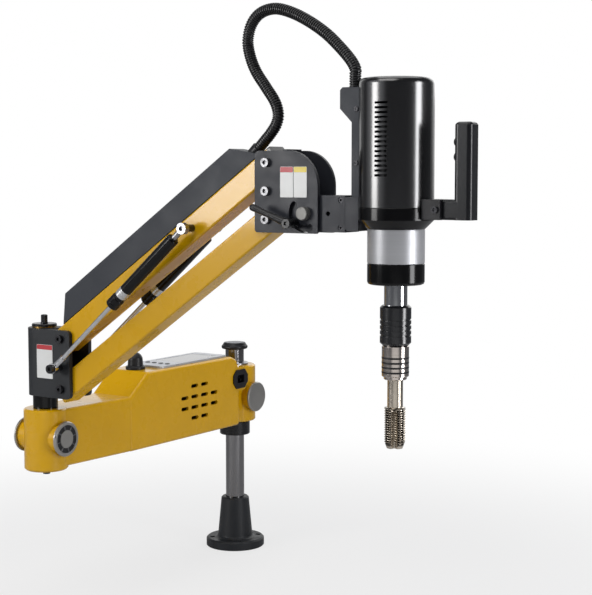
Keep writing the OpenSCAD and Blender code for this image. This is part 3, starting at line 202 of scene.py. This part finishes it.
def make_floor():
    """A pale floor that turns white away from the object, and is white in reflections in front of it."""
    me = bpy.data.meshes.new("floor")
    s = FLOOR_HALF
    me.from_pydata([(-s, -s, 0), (s, -s, 0), (s, s, 0), (-s, s, 0)], [], [(0, 1, 2, 3)])
    floor = bpy.data.objects.new("floor", me)
    scene.collection.objects.link(floor)
    floor.location = (0, 0, FLOOR_DROP)
    m = bpy.data.materials.new("floor")
    m.use_nodes = True
    t = m.node_tree
    p = t.nodes["Principled BSDF"]
    cloud = new_node(t, "ShaderNodeTexNoise", {"Scale": FLOOR_CLOUD})
    pale = colour_ramp(t, cloud.outputs["Fac"], [(0.0, FLOOR_LOW), (1.0, FLOOR_HIGH)])
    t.links.new(pale, p.inputs["Base Color"])
    p.inputs["Roughness"].default_value = FLOOR_ROUGH
    white = t.nodes.new("ShaderNodeEmission")
    geo = t.nodes.new("ShaderNodeNewGeometry")
    rays = t.nodes.new("ShaderNodeLightPath")

    def around(centre, span, shares):
        """A share that goes with the distance from centre."""
        far = new_node(t, "ShaderNodeVectorMath", {1: centre}, operation="DISTANCE")
        t.links.new(geo.outputs["Position"], far.inputs[0])
        return map_range(t, far.outputs["Value"], *span, *shares)

    def calculate(kind, a, b):
        n = new_node(t, "ShaderNodeMath", operation=kind)
        n.use_clamp = True
        t.links.new(a, n.inputs[0])
        t.links.new(b, n.inputs[1])
        return n.outputs[0]

    direct = calculate("ADD", rays.outputs["Is Camera Ray"], rays.outputs["Is Transmission Ray"])
    shown = calculate("MULTIPLY", direct, around(SHOWN_AT, SHOWN_SPAN, SHOWN_WHITE))
    glossy = around(MIRROR_AT, MIRROR_SPAN, MIRROR_WHITE)
    glossy = calculate("MULTIPLY", rays.outputs["Is Glossy Ray"], glossy)
    surface = mix_shader(t, calculate("ADD", shown, glossy), p.outputs["BSDF"], white.outputs["Emission"])
    t.links.new(surface, t.nodes["Material Output"].inputs["Surface"])
    me.materials.append(m)


# ---------------------------------------------------------------- materials
NOISE_LOW, NOISE_HIGH = 0.3, 0.7            # a noise's values lie mostly between these
CLOUD_DETAIL, GRAIN_DETAIL, NOISE_ROUGH = 4, 2, 0.5
SHEEN_SCALE, SHEEN_LOW, SHEEN_HIGH = 4, 0.85, 1.2
GRAIN_DEPTH, EDGE_SAMPLES = 0.0002, 4
MIX_A, MIX_B, MIX_OUT = 6, 7, 2             # the numbers of a Mix node's colour sockets

MATS = {}


def srgb(r, g, b):
    def lin(c):
        c /= 255
        return c / 12.92 if c <= 0.04045 else ((c + 0.055) / 1.055) ** 2.4
    return (lin(r), lin(g), lin(b), 1)


def shade(colour, k):
    return (min(1, colour[0] * k), min(1, colour[1] * k), min(1, colour[2] * k), 1)


RUBBER = srgb(24, 24, 26)
PLUG_FROM = 0.008               # the upper link's black end, past its pivot at the head
ROOTS_FROM, ROOTS_TO = 0.010, 0.017         # radii between which the painted shadow of the thread's roots lies
# painted shadow: white over the crests and flanks, dark near the roots' radius
ROOT_PAINTED_SHADOW = ((0.52, WHITE), (0.62, (0.10, 0.10, 0.10, 1)), (0.76, (0.22, 0.21, 0.20, 1)), (0.93, WHITE))


def paint(name, colour, rough, spread=0.04, metallic=0.0, spec=0.5, coat=0.0, coat_rough=0.05, coat_ior=1.5,
          edge=0.0008, grain=900, depth=0.15, cloud=9, line=(1, 1, 1)):
    """One finish: a slight cloud in its colour, a finer one in its sheen, its grain, and edges that catch the
    light as if they were rounded by edge. line stretches the noises into turning or drawing marks."""
    m = bpy.data.materials.new(name)
    m.use_nodes = True
    t = m.node_tree
    p = t.nodes["Principled BSDF"]
    for key, value in (("Roughness", rough), ("Metallic", metallic), ("Specular IOR Level", spec),
                       ("Coat Weight", coat), ("Coat Roughness", coat_rough), ("Coat IOR", coat_ior)):
        p.inputs[key].default_value = value
    co = t.nodes.new("ShaderNodeTexCoord")

    def noise(scale, detail):
        place = new_node(t, "ShaderNodeMapping", {"Scale": line})
        t.links.new(co.outputs["Object"], place.inputs["Vector"])
        n = new_node(t, "ShaderNodeTexNoise", {"Scale": scale, "Detail": detail, "Roughness": NOISE_ROUGH})
        t.links.new(place.outputs["Vector"], n.inputs["Vector"])
        return n.outputs["Fac"]

    shades = [(NOISE_LOW, shade(colour, 1 - spread)), (NOISE_HIGH, shade(colour, 1 + spread))]
    t.links.new(colour_ramp(t, noise(cloud, CLOUD_DETAIL), shades), p.inputs["Base Color"])
    sheen = map_range(t, noise(cloud * SHEEN_SCALE, CLOUD_DETAIL), NOISE_LOW, NOISE_HIGH,
                      rough * SHEEN_LOW, rough * SHEEN_HIGH, "LINEAR")
    t.links.new(sheen, p.inputs["Roughness"])
    bump = new_node(t, "ShaderNodeBump", {"Strength": depth, "Distance": GRAIN_DEPTH})
    t.links.new(noise(grain, GRAIN_DETAIL), bump.inputs["Height"])
    if edge:
        bevel = new_node(t, "ShaderNodeBevel", {"Radius": edge})
        bevel.samples = EDGE_SAMPLES
        t.links.new(bevel.outputs["Normal"], bump.inputs["Normal"])
    t.links.new(bump.outputs["Normal"], p.inputs["Normal"])
    MATS[name] = m


def make_materials():
    turned, drawn = (1, 1, 40), (26, 26, 1)
    # paints and plastics
    paint("yellow", srgb(206, 157, 1), 0.28, 0.03, spec=0.22, coat=0.55, coat_rough=0.07, edge=0.0012,
          grain=150, depth=0.05)
    paint("black_coat", srgb(36, 38, 41), 0.42, 0.10, spec=0.28, grain=1500, depth=0.30)
    paint("head_coat", srgb(42, 44, 50), 0.40, 0.08, spec=0.28, grain=1500, depth=0.30)
    paint("black_cover", srgb(48, 51, 57), 0.45, 0.05, spec=0.22, grain=1100, depth=0.25, cloud=5)
    paint("black_satin", srgb(12, 12, 14), 0.45, 0.08, spec=0.06, coat=1.0, coat_rough=0.20, coat_ior=1.85,
          depth=0.05)
    paint("black_gloss", srgb(8, 8, 9), 0.15, 0.10, spec=0.26, grain=600, depth=0.04)
    paint("black_plastic", srgb(26, 26, 29), 0.36, 0.08, spec=0.3, depth=0.20)
    paint("grip_plastic", srgb(19, 20, 23), 0.40, 0.06, spec=0.10, coat=0.5, coat_rough=0.22, depth=0.10)
    paint("grey_plastic", srgb(128, 130, 134), 0.42, 0.04, grain=800, depth=0.12)
    paint("hose", RUBBER, 0.34, 0.15, spec=0.4, edge=0, grain=500, depth=0.12, cloud=30)
    paint("core", srgb(34, 34, 36), 0.5, 0.10, metallic=0.4, edge=0, grain=300, depth=0.1)
    # metals
    paint("black_steel", srgb(26, 26, 28), 0.26, 0.12, metallic=0.3, grain=60, depth=0.08, line=turned)
    paint("black_oxide", srgb(20, 21, 24), 0.20, 0.10, spec=0.6, edge=0.0004, grain=60, depth=0.05,
          line=turned)
    paint("chrome", srgb(205, 206, 208), 0.09, 0.04, metallic=1.0, edge=0.0006, grain=60, depth=0.02,
          cloud=14, line=turned)
    paint("column_chrome", srgb(132, 131, 132), 0.11, 0.10, metallic=1.0, edge=0.0006, grain=60, depth=0.03,
          cloud=12, line=drawn)
    paint("turned", srgb(186, 184, 180), 0.20, 0.08, metallic=1.0, edge=0.0006, grain=22, depth=0.10,
          cloud=10, line=turned)
    paint("collet", srgb(190, 182, 176), 0.14, 0.10, metallic=1.0, edge=0.0005, grain=22, depth=0.05,
          cloud=10, line=turned)
    paint("satin", srgb(164, 165, 168), 0.40, 0.03, metallic=0.5, edge=0.0004, grain=20, depth=0.06,
          line=turned)
    paint("bronze", srgb(186, 150, 84), 0.28, 0.12, metallic=1.0, grain=30, depth=0.08, cloud=20, line=turned)
    paint("tap", srgb(190, 181, 168), 0.22, 0.16, metallic=1.0, edge=0, grain=300, depth=0.08, cloud=26)
    paint("cap_steel", srgb(168, 166, 162), 0.34, 0.10, metallic=0.85, grain=500, depth=0.10, cloud=22)
    paint("cap_dark", srgb(44, 44, 46), 0.42, 0.30, metallic=0.6, edge=0, grain=300, depth=0.2, cloud=40)
    paint("shaft_end", srgb(120, 119, 116), 0.45, 0.08, metallic=0.4, grain=500, depth=0.10, cloud=22)
    paint("zinc", srgb(160, 160, 164), 0.30, 0.12, metallic=1.0, edge=0.0003, grain=700, depth=0.08, cloud=60)
    paint("worn_screw", srgb(118, 118, 120), 0.34, 0.22, metallic=0.8, edge=0.0004, grain=700, depth=0.1,
          cloud=80)
    paint("dark_screw", srgb(46, 46, 49), 0.32, 0.20, metallic=0.7, edge=0.0004, depth=0.08, cloud=80)
    # plates and the panel
    paint("panel", srgb(182, 185, 190), 0.30, 0.03, metallic=0.3, grain=800, depth=0.06)
    paint("plate", srgb(216, 217, 216), 0.35, 0.02, edge=0, grain=600, depth=0.05, cloud=25)
    paint("band_red", srgb(176, 44, 52), 0.35, 0.03, edge=0, grain=600, depth=0.05)
    paint("band_yellow", srgb(214, 190, 52), 0.35, 0.03, edge=0, grain=600, depth=0.05)
    paint("foil", srgb(196, 197, 198), 0.25, 0.05, metallic=0.7, edge=0, grain=600, depth=0.05)
    paint("glass", srgb(30, 36, 42), 0.08, 0.10, spec=0.6, coat=0.5, coat_rough=0.03, edge=0, grain=60,
          depth=0.02)


def over_colour(m, blend_type):
    """The tree of a finish, and a Mix node put between its own colour and its shader."""
    t = m.node_tree
    base = t.nodes["Principled BSDF"].inputs["Base Color"]
    mix = t.nodes.new("ShaderNodeMix")
    mix.data_type, mix.blend_type = "RGBA", blend_type
    t.links.new(base.links[0].from_socket, mix.inputs[MIX_A])
    t.links.new(mix.outputs[MIX_OUT], base)
    return t, mix


def make_plugged_yellow():
    """A copy of the yellow paint that is black plastic at the upper link's end by the head."""
    along = (math.cos(LINK_A), 0, math.sin(LINK_A))
    start = LINK_X * math.cos(LINK_A) + HIGH_Z * math.sin(LINK_A) + LINK_L + PLUG_FROM
    m = MATS["yellow"].copy()
    m.name = "yellow_plugged"
    t, mix = over_colour(m, "MIX")
    co = t.nodes.new("ShaderNodeTexCoord")
    dot = new_node(t, "ShaderNodeVectorMath", {1: along}, operation="DOT_PRODUCT")
    past = new_node(t, "ShaderNodeMath", {1: start}, operation="GREATER_THAN")
    t.links.new(co.outputs["Object"], dot.inputs[0])
    t.links.new(dot.outputs["Value"], past.inputs[0])
    t.links.new(past.outputs[0], mix.inputs["Factor"])
    mix.inputs[MIX_B].default_value = RUBBER
    MATS[m.name] = m


def make_thread_root_shadow():
    """Painted shadow in the roots of the tap's thread, by the distance from the tap's axis."""
    t, mix = over_colour(MATS["tap"], "MULTIPLY")
    co = t.nodes.new("ShaderNodeTexCoord")
    flat = new_node(t, "ShaderNodeVectorMath", operation="MULTIPLY_ADD")
    flat.inputs[1].default_value, flat.inputs[2].default_value = (1, 1, 0), (-SX, -YE, 0)
    far = new_node(t, "ShaderNodeVectorMath", operation="LENGTH")
    t.links.new(co.outputs["Object"], flat.inputs[0])
    t.links.new(flat.outputs["Vector"], far.inputs[0])
    # painted shadow: the tap's colour is darkened towards the roots' radius
    depth = map_range(t, far.outputs["Value"], ROOTS_FROM, ROOTS_TO, kind="LINEAR")
    mix.inputs["Factor"].default_value = 1.0
    t.links.new(colour_ramp(t, depth, ROOT_PAINTED_SHADOW), mix.inputs[MIX_B])


# finish -> the CAD nodes that have it
NODE_MATS = {
    "yellow": "arm_casting lower_link",
    "yellow_plugged": "upper_link",
    "black_coat": "base_flange elbow_bracket",
    "head_coat": "head_bracket tilt_bar motor_bracket",
    "black_cover": "cable_cover conduit_cover",
    "black_satin": "motor_housing",
    "black_gloss": "elbow_neck gas_cylinder_near gas_cylinder_far motor_flange bearing_cap"
                   " button_high button_low",
    "black_plastic": "column_cap inlet_body cable_gland cover_glands handle_clamp",
    "grip_plastic": "handle_grip",
    "grey_plastic": "cap_disc",
    "hose": "hose_low hose_high",
    "core": "servo_drive servo_motor",
    "black_steel": "stop_collar elbow_disc clamp_lever",
    "black_oxide": "elbow_screws spring_studs_low spring_studs_high chuck_sleeve",
    "chrome": "gas_rod_near gas_rod_far spindle",
    "column_chrome": "column",
    "turned": "elbow_pin",
    "collet": "tap_holder",
    "satin": "gear_housing",
    "bronze": "elbow_washer elbow_bushes upper_bushes lower_bushes",
    "tap": "tap",
    "cap_steel": "hub_caps",
    "shaft_end": "tilt_shaft",
    "zinc": "column_bushes gas_eye_near gas_eye_far",
    "worn_screw": "head_pivot_pins",
    "dark_screw": "collar_screw inlet_pins elbow_pivot_pins clamp_stud head_screws",
    "panel": "top_panel",
}


def dress_nodes():
    finishes = {node: MATS[finish] for finish, nodes in NODE_MATS.items() for node in nodes.split()}
    for name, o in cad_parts.items():
        if not o.material_slots:
            o.data.materials.append(finishes[name])
        for s in o.material_slots:
            s.material = finishes[name]


# ---------------------------------------------------------------- mesh helpers
SHARP = math.radians(32)        # edges that turn by more than this stay hard


def new_piece(name, verts, faces, mat, body=None):
    """A smooth shaded piece that rides on a body, or on none."""
    me = bpy.data.meshes.new(name)
    me.from_pydata([tuple(v) for v in verts], [], [tuple(f) for f in faces])
    me.validate()
    o = bpy.data.objects.new(name, me)
    scene.collection.objects.link(o)
    me.materials.append(MATS[mat])
    bm = bmesh.new()
    bm.from_mesh(me)
    bmesh.ops.recalc_face_normals(bm, faces=bm.faces)
    bm.to_mesh(me)
    bm.free()
    for p in me.polygons:
        p.use_smooth = True
    me.set_sharp_from_angle(angle=SHARP)
    if body:
        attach(o, body)
    return o


def on_circle(r, k, seg, z):
    a = 2 * math.pi * k / seg
    return Vector((r * math.cos(a), r * math.sin(a), z))


def bridge(a, b, inward=False):
    """Quads between two rings of point numbers."""
    pairs = [(k, (k + 1) % len(a)) for k in range(len(a))]
    if inward:
        return [(a[k], b[k], b[j], a[j]) for k, j in pairs]
    return [(a[k], a[j], b[j], b[k]) for k, j in pairs]


def lathe(profile, seg, place):
    """Points and faces of a profile [(r, z), ...] turned round Z. place is the matrix to the part's frame."""
    verts, faces, rows = [], [], []
    for r, z in profile:
        ring = [on_circle(r, k, seg, z) for k in range(seg)] if r else [Vector((0, 0, z))]
        rows.append(list(range(len(verts), len(verts) + len(ring))))
        verts += ring
    for a, b in zip(rows, rows[1:]):
        if len(a) == 1:
            faces += [(a[0], b[k], b[(k + 1) % seg]) for k in range(seg)]
        elif len(b) == 1:
            faces += [(a[k], b[0], a[(k + 1) % seg]) for k in range(seg)]
        else:
            faces += bridge(a, b)
    return [place @ v for v in verts], faces


def band(r0, r1, z0, z1):
    """The closed profile of a plain ring."""
    return [(r0, z0), (r1, z0), (r1, z1), (r0, z1), (r0, z0)]


def toward(point, direction):
    """Matrix that puts +Z along direction at point."""
    return Matrix.Translation(Vector(point)) @ direction.to_track_quat("Z", "Y").to_matrix().to_4x4()


CORNER_STEPS = 5                # edges of a plate's round corner
PLATE_R = 0.0015
PLATE_SIDE, PLATE_CHAMFER = 0.7, 0.6        # shares of thickness: straight side, what the front is shorter by


def plate(name, centre, wide, high, thick, u, v, mat, body, r=PLATE_R):
    """A thin plate with round corners; its back lies at centre, and it stands out along u x v."""
    outline = []
    for cx, cy, a0 in ((1, 1, 0), (-1, 1, 90), (-1, -1, 180), (1, -1, 270)):
        for k in range(CORNER_STEPS + 1):
            a = math.radians(a0 + 90 / CORNER_STEPS * k)
            outline.append((cx * (wide / 2 - r) + r * math.cos(a),
                            cy * (high / 2 - r) + r * math.sin(a)))
    c, n, k = Vector(centre), u.cross(v), len(outline)
    inset = 1 - thick * PLATE_CHAMFER / max(wide, high)
    verts = [c + u * x + v * y for x, y in outline]
    verts += [c + u * x + v * y + n * (thick * PLATE_SIDE) for x, y in outline]
    verts += [c + u * x * inset + v * y * inset + n * thick for x, y in outline]
    back, rim, front = (list(range(i * k, (i + 1) * k)) for i in range(3))
    faces = [back[::-1], front] + bridge(back, rim) + bridge(rim, front)
    new_piece(name, verts, faces, mat, body)


# ---------------------------------------------------------------- hose
HOSE_D, HOSE_BORE, HOSE_SIDES = 0.018, 0.012, 22
RIB_PITCH, RIB_DEPTH = 0.0037, 0.0014
RIB = ((0.0, 0.0), (0.10, 0.75), (0.24, 1.0), (0.60, 1.0), (0.74, 0.75), (0.84, 0.0))   # along, out: shares
BORE_STEP = 4                   # the bore has a ring at every fourth of the outside's
LINE_STEP = 0.0004              # between the dense points of the route's curve

OUT_A = math.radians(45)
OUT_DIR = Vector((math.cos(OUT_A), 0, math.sin(OUT_A)))     # the way out of the cable cover's gland
RUN, RUN_ON = HOSE_D * 1.1, 1.4             # straight length at both glands; runs to the next point
HOSE_EXIT = Vector((HEAD_X - 0.0307, YE, HEAD_HIGH + 0.023))
HOSE_END = Vector((SX - 0.070, YE, MOTOR_TOP - 0.012))


def in_plane(*pairs):
    """Points in the links' plane."""
    return [Vector((x, YE, z)) for x, z in pairs]


# The two stretches follow one curve, drawn over the photograph's, with their seam at HOSE_TOP. Each route has
# one point past the seam, so that both leave it in the same direction.
AROUND_TOP = in_plane((0.458, 1.018), (0.484, 1.023), (0.513, 1.016))
LOW_ROUTE = [HOSE_EXIT, HOSE_EXIT + OUT_DIR * RUN, HOSE_EXIT + OUT_DIR * RUN * RUN_ON] + in_plane(
    (0.486, 0.848), (0.490, 0.864), (0.484, 0.883), (0.467, 0.906), (0.449, 0.930), (0.438, 0.954),
    (0.434, 0.978), (0.441, 1.002)) + AROUND_TOP
HIGH_ROUTE = AROUND_TOP + in_plane((0.545, 1.001), (0.576, 0.981), (0.601, 0.959), (0.619, 0.940)) + [
    HOSE_END + Vector((0, 0, RUN * RUN_ON)), HOSE_END + Vector((0, 0, RUN)), HOSE_END]


def spline_points(p, i0, i1):
    """Dense points of the route's Catmull-Rom spline between its points i0 and i1."""
    out = []
    for i in range(i0, i1):
        a = p[i - 1] if i > 0 else 2 * p[0] - p[1]
        b, c = p[i], p[i + 1]
        d = p[i + 2] if i < len(p) - 2 else 2 * p[-1] - p[-2]
        n = max(4, int((c - b).length / LINE_STEP))
        for k in range(n):
            t = k / n
            out.append(0.5 * (2 * b + (c - a) * t + (2 * a - 5 * b + 4 * c - d) * t * t
                              + (3 * b - a - 3 * c + d) * t ** 3))
    out.append(p[i1].copy())
    return out


def resample(points, along, marks):
    """The point and the direction of a line at each mark; along has the distance of each of its points. The
    direction is taken over a few points on both sides."""
    out, i = [], 0
    for s in marks:
        while i < len(along) - 2 and along[i + 1] < s:
            i += 1
        step = along[i + 1] - along[i]
        t = 0 if step <= 0 else (s - along[i]) / step
        before, after = points[max(0, i - 3)], points[min(len(points) - 1, i + 4)]
        out.append((points[i].lerp(points[i + 1], min(1, max(0, t))), (after - before).normalized()))
    return out


def ring_across(at, direction, r):
    """Points of a circle round a line."""
    up = AXIS_Y.cross(direction).normalized()
    turns = [2 * math.pi * j / HOSE_SIDES for j in range(HOSE_SIDES)]
    return [at + up * (r * math.cos(a)) + AXIS_Y * (r * math.sin(a)) for a in turns]


def ribbed(name, route, i0, i1):
    """Ribbed conduit with its bore: rounded ribs, narrow grooves. Gives the piece, its centre line and its
    length."""
    line = spline_points(route, i0, i1)
    along = [0.0]
    for a, b in zip(line, line[1:]):
        along.append(along[-1] + (b - a).length)
    total = along[-1]
    ribs = max(2, round(total / RIB_PITCH))
    pitch = total / ribs
    marks = [((k + share) * pitch, high) for k in range(ribs) for share, high in RIB] + [(total, 0.0)]
    stations = resample(line, along, [s for s, high in marks])
    verts, outer, inner = [], [], []
    for (at, direction), (s, high) in zip(stations, marks):
        outer.append(list(range(len(verts), len(verts) + HOSE_SIDES)))
        verts += ring_across(at, direction, HOSE_D / 2 - RIB_DEPTH * (1 - high))
    inside = stations[::BORE_STEP]
    if (len(stations) - 1) % BORE_STEP:
        inside.append(stations[-1])
    for at, direction in inside:
        inner.append(list(range(len(verts), len(verts) + HOSE_SIDES)))
        verts += ring_across(at, direction, HOSE_BORE / 2)
    faces = []
    for a, b in zip(outer, outer[1:]):
        faces += bridge(a, b)
    for a, b in zip(inner, inner[1:]):
        faces += bridge(a, b, inward=True)
    faces += bridge(outer[0], inner[0], inward=True) + bridge(outer[-1], inner[-1])
    o = new_piece(name, verts, faces, "hose")
    return o, [at for at, direction in stations], total


def make_hose():
    low, path, length = ribbed("hose_ribbed_low", LOW_ROUTE, 0, len(LOW_ROUTE) - 2)
    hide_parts("hose_low")
    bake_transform(low)
    high, path, length = ribbed("hose_ribbed_high", HIGH_ROUTE, 1, len(HIGH_ROUTE) - 1)
    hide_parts("hose_high")
    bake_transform(high)


# ---------------------------------------------------------------- tap and its holder
TAP_R, ROOT_R, THREAD_PITCH, PITCH_STEPS = 0.0165, 0.0144, 0.0035, 8
LEAD_L, LEAD_CUT = 0.011, 0.0042            # the tapered start
FLUTES, FLUTE_TURN, FLUTE_HALF, FLUTE_CUT, FLUTE_FADE = 4, 0.22, 0.21, 0.0062, 0.006
TAP_SIDES = 96
RIDGE_TOP, RIDGE_SLOPE = 1.2, 2.6           # cut off at 0 and 1, so roots and crests have narrow flats
NECK_R, NECK_AT, SHANK_R, SHANK_AT = 0.0140, 0.0006, 0.0115, 0.0012     # with heights over the thread's end
SHANK_IN = 0.028                # the shank reaches this far into the holder

# painted shadow: dark rings that fill the tap holder's grooves, where there is only shade
RINGS, RING_R, RING_FIRST, RING_PITCH, RING_SIDES = 4, 0.0200, 0.0111, 0.0071, 64
RING_HALF = ((-0.0009, 0.0010), (0.0001, 0.0014), (0.0003, 0.0008))     # half a ring's section: out, along


def make_tap():
    """Hand tap: shank, V threads with a lead, and four straight flutes."""
    def flute(a):
        """How deep a flute cuts at angle a, from 0 to 1."""
        f = ((a / (2 * math.pi) * FLUTES + FLUTE_TURN) % 1.0) - 0.5
        return max(0.0, 1 - (f / FLUTE_HALF) ** 2) ** 0.5 if abs(f) < FLUTE_HALF else 0.0

    def radius(z, a):
        ridge = RIDGE_TOP - abs((z / THREAD_PITCH + a / (2 * math.pi)) % 1.0 - 0.5) * RIDGE_SLOPE
        r = ROOT_R + (TAP_R - ROOT_R) * max(0.0, min(1.0, ridge))
        r = min(r, TAP_R - LEAD_CUT * max(0.0, 1 - z / LEAD_L))
        fade = 1.0 if z < TAP_L - FLUTE_FADE else max(0.0, (TAP_L - z) / FLUTE_FADE)
        return r - FLUTE_CUT * flute(a) * fade

    shank_top = TAP_L + SHANK_L + SHANK_IN
    steps = int(TAP_L / (THREAD_PITCH / PITCH_STEPS))
    rings = []
    for i in range(steps + 1):
        z = TAP_L * i / steps
        rings.append([on_circle(radius(z, 2 * math.pi * k / TAP_SIDES), k, TAP_SIDES, TAP_TIP + z)
                      for k in range(TAP_SIDES)])
    for r, z in ((NECK_R, TAP_L + NECK_AT), (SHANK_R, TAP_L + SHANK_AT), (SHANK_R, shank_top)):
        rings.append([on_circle(r, k, TAP_SIDES, TAP_TIP + z) for k in range(TAP_SIDES)])
    verts = [v for ring in rings for v in ring]
    rows = [list(range(i * TAP_SIDES, (i + 1) * TAP_SIDES)) for i in range(len(rings))]
    faces = [face for a, b in zip(rows, rows[1:]) for face in bridge(a, b)]
    for row, z in ((rows[0], TAP_TIP), (rows[-1], TAP_TIP + shank_top)):
        verts.append(Vector((0, 0, z)))
        faces += [(len(verts) - 1, row[(k + 1) % TAP_SIDES], row[k]) for k in range(TAP_SIDES)]
    verts = [v + Vector((SX, YE, 0)) for v in verts]
    o = new_piece("tap_threaded", verts, faces, "tap", "spindle")
    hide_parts("tap")


def make_holder_groove_shadows():
    """Dark rings laid in the tap holder's four grooves: painted shadow, where the grooves hold only shade."""
    at = Matrix.Translation((SX, YE, HOLDER_LOW))
    for i in range(RINGS):
        z = RING_FIRST + i * RING_PITCH
        rim = [(RING_R + out, z - half) for out, half in RING_HALF]
        rim += [(RING_R + out, z + half) for out, half in reversed(RING_HALF)]
        v, f = lathe(rim + rim[:1], RING_SIDES, at)
        new_piece(f"holder_groove_shadow_{i + 1}", v, f, "black_plastic", "spindle")


# ---------------------------------------------------------------- bare plates
PLATE_T, BAND_H, BAND_T, BAND_MARGIN, BAND_OUT, BAND_R = 0.0005, 0.008, 0.0004, 0.0004, 0.0003, 0.0011
BRACKET_SIDE, HEAD_SIDE = YE - 0.028, YE - 0.026        # near faces of the elbow bracket and the head's cheek
HEAD_LABEL_Z = HEAD_LOW + 0.0567

# name, x, y, z, width, height, band, body
LABELS = (
    ("bracket", 0.0262, BRACKET_SIDE, 0.453, 0.036, 0.058, "band_red", "bracket"),
    ("head_left", HEAD_X + 0.0372, HEAD_SIDE, HEAD_LABEL_Z, 0.0235, 0.046, "band_red", "head"),
    ("head_right", HEAD_X + 0.0616, HEAD_SIDE, HEAD_LABEL_Z, 0.0235, 0.046, "band_yellow", "head"),
)


def make_plates():
    """Bare plates with a plain band of colour along their tops."""
    for name, x, y, z, wide, high, mat, body in LABELS:
        band_z = z + high / 2 - BAND_H / 2 - BAND_MARGIN
        plate(name + "_plate", (x, y, z), wide, high, PLATE_T, AXIS_X, AXIS_Z, "plate", body)
        plate(name + "_band", (x, y - BAND_OUT, band_z), wide - 2 * BAND_MARGIN, BAND_H, BAND_T,
              AXIS_X, AXIS_Z, mat, body, BAND_R)


# ---------------------------------------------------------------- small turned and fitted pieces
SPRING_A = math.radians(41.1075)            # slope of the gas springs at rest
SPRING_LOW = Vector((0.061, YE, LOW_Z + 0.0374))        # between their lower studs
SPRING_Y, SPRING_L, CYLINDER_L, EYE_L = 0.044, 0.36879, 0.172, 0.024
CYLINDER_FROM = SPRING_L - CYLINDER_L - EYE_L           # the cylinder's lower end, along the spring
CYLINDER_R, COLLAR_R, SPRING_SIDES = 0.01020, 0.01130, 40
COLLAR_FROM, COLLAR_TO = 0.0003, 0.0207
COLLAR = ((0.0012, 0.0003), (0, 0.0015), (0, 0.0085), (0.0007, 0.0089), (0.0007, 0.0101), (0, 0.0105),
          (0, 0.0195), (0.0008, 0.0205))    # under COLLAR_R, along
FOIL_FROM, FOIL_L, FOIL_R = 0.0265, 0.0145, 0.01035


def make_springs():
    """Lower collar, groove and bare foil band of each gas spring's cylinder."""
    slope = Matrix.Rotation(-SPRING_A, 4, "Y") @ Matrix.Rotation(math.radians(90), 4, "Y")
    for side, word in ((-1, "near"), (1, "far")):
        at = Matrix.Translation(SPRING_LOW + Vector((0, side * SPRING_Y, 0))) @ slope
        a = CYLINDER_FROM
        rim = [(CYLINDER_R, a + COLLAR_FROM)] + [(COLLAR_R - under, a + z) for under, z in COLLAR]
        v, f = lathe(rim + [(CYLINDER_R, a + COLLAR_TO), (CYLINDER_R, a + COLLAR_FROM)], SPRING_SIDES, at)
        new_piece("spring_collar_" + word, v, f, "black_gloss", "cylinder_" + word)
        b = a + FOIL_FROM
        v, f = lathe(band(CYLINDER_R, FOIL_R, b, b + FOIL_L), SPRING_SIDES, at)
        new_piece("spring_band_" + word, v, f, "foil", "cylinder_" + word)


CAP_X, CAP_Z = 0.0475, 0.0515               # groove's floor from the arm's middle, caps' axis over ARM_Z
GROOVE_R, FLOOR_T, CAP_SIDES = (0.0157, 0.0243), 0.0002, 64
SPOKES, SPOKE_TURN, SPOKE_R = 8, 12, (0.0150, 0.0248)
SPOKE_HALF, SPOKE_H, SPOKE_TAPER = 0.0011, 0.0013, 0.6
BOX_FACES = ((0, 3, 2, 1), (4, 5, 6, 7), (0, 1, 5, 4), (1, 2, 6, 5), (2, 3, 7, 6), (3, 0, 4, 7))


def make_cap_faces():
    """Dark floor and spokes in the ring groove of the elbow's caps."""
    (r0, r1), w, top = SPOKE_R, SPOKE_HALF, SPOKE_HALF * SPOKE_TAPER
    spoke = [(r0, -w, 0), (r1, -w, 0), (r1, w, 0), (r0, w, 0),
             (r0, -top, SPOKE_H), (r1, -top, SPOKE_H), (r1, top, SPOKE_H), (r0, top, SPOKE_H)]
    for s, word in ((1, "right"), (-1, "left")):
        at = toward((s * CAP_X, YE, ARM_Z + CAP_Z), s * AXIS_X)
        v, f = lathe(band(*GROOVE_R, 0, FLOOR_T), CAP_SIDES, at)
        new_piece("cap_floor_" + word, v, f, "cap_dark", "arm")
        verts, faces = [], []
        for k in range(SPOKES):
            turn = Matrix.Rotation(math.radians(360 / SPOKES * k + SPOKE_TURN), 4, "Z")
            faces += [tuple(i + len(verts) for i in face) for face in BOX_FACES]
            verts += [at @ turn @ Vector(corner) for corner in spoke]
        new_piece("cap_spokes_" + word, verts, faces, "worn_screw", "arm")


WINDOW_AT = (0, -0.163, PANEL_TOP - 0.0012)
WINDOW_W, WINDOW_L, WINDOW_T, WINDOW_R = 0.0615, 0.1195, 0.0009, 0.0028
KEYS, KEY_Y, KEY_Z, KEY_PITCH, KEY_SIDES = 4, -0.253, PANEL_TOP - 0.0008, 0.016, 32
KEY = ((0, 0), (0.0048, 0), (0.0048, 0.0010), (0.0042, 0.0017), (0.0025, 0.0020), (0, 0.0021))


def make_panel():
    """Display window and four keys of the roof panel, bare."""
    plate("panel_window", WINDOW_AT, WINDOW_W, WINDOW_L, WINDOW_T, AXIS_X, AXIS_Y, "glass", "arm", WINDOW_R)
    for k in range(KEYS):
        at = ((k - (KEYS - 1) / 2) * KEY_PITCH, KEY_Y, KEY_Z)
        v, f = lathe(KEY, KEY_SIDES, toward(at, AXIS_Z))
        new_piece(f"panel_key_{k + 1}", v, f, "black_plastic", "arm")


make_camera()
make_world()
make_floor()
make_materials()
make_thread_root_shadow()
make_plugged_yellow()
dress_nodes()
make_hose()
make_tap()
make_holder_groove_shadows()
make_plates()
make_springs()
make_cap_faces()
make_panel()
make_lights()

scene.view_settings.view_transform = "Standard"
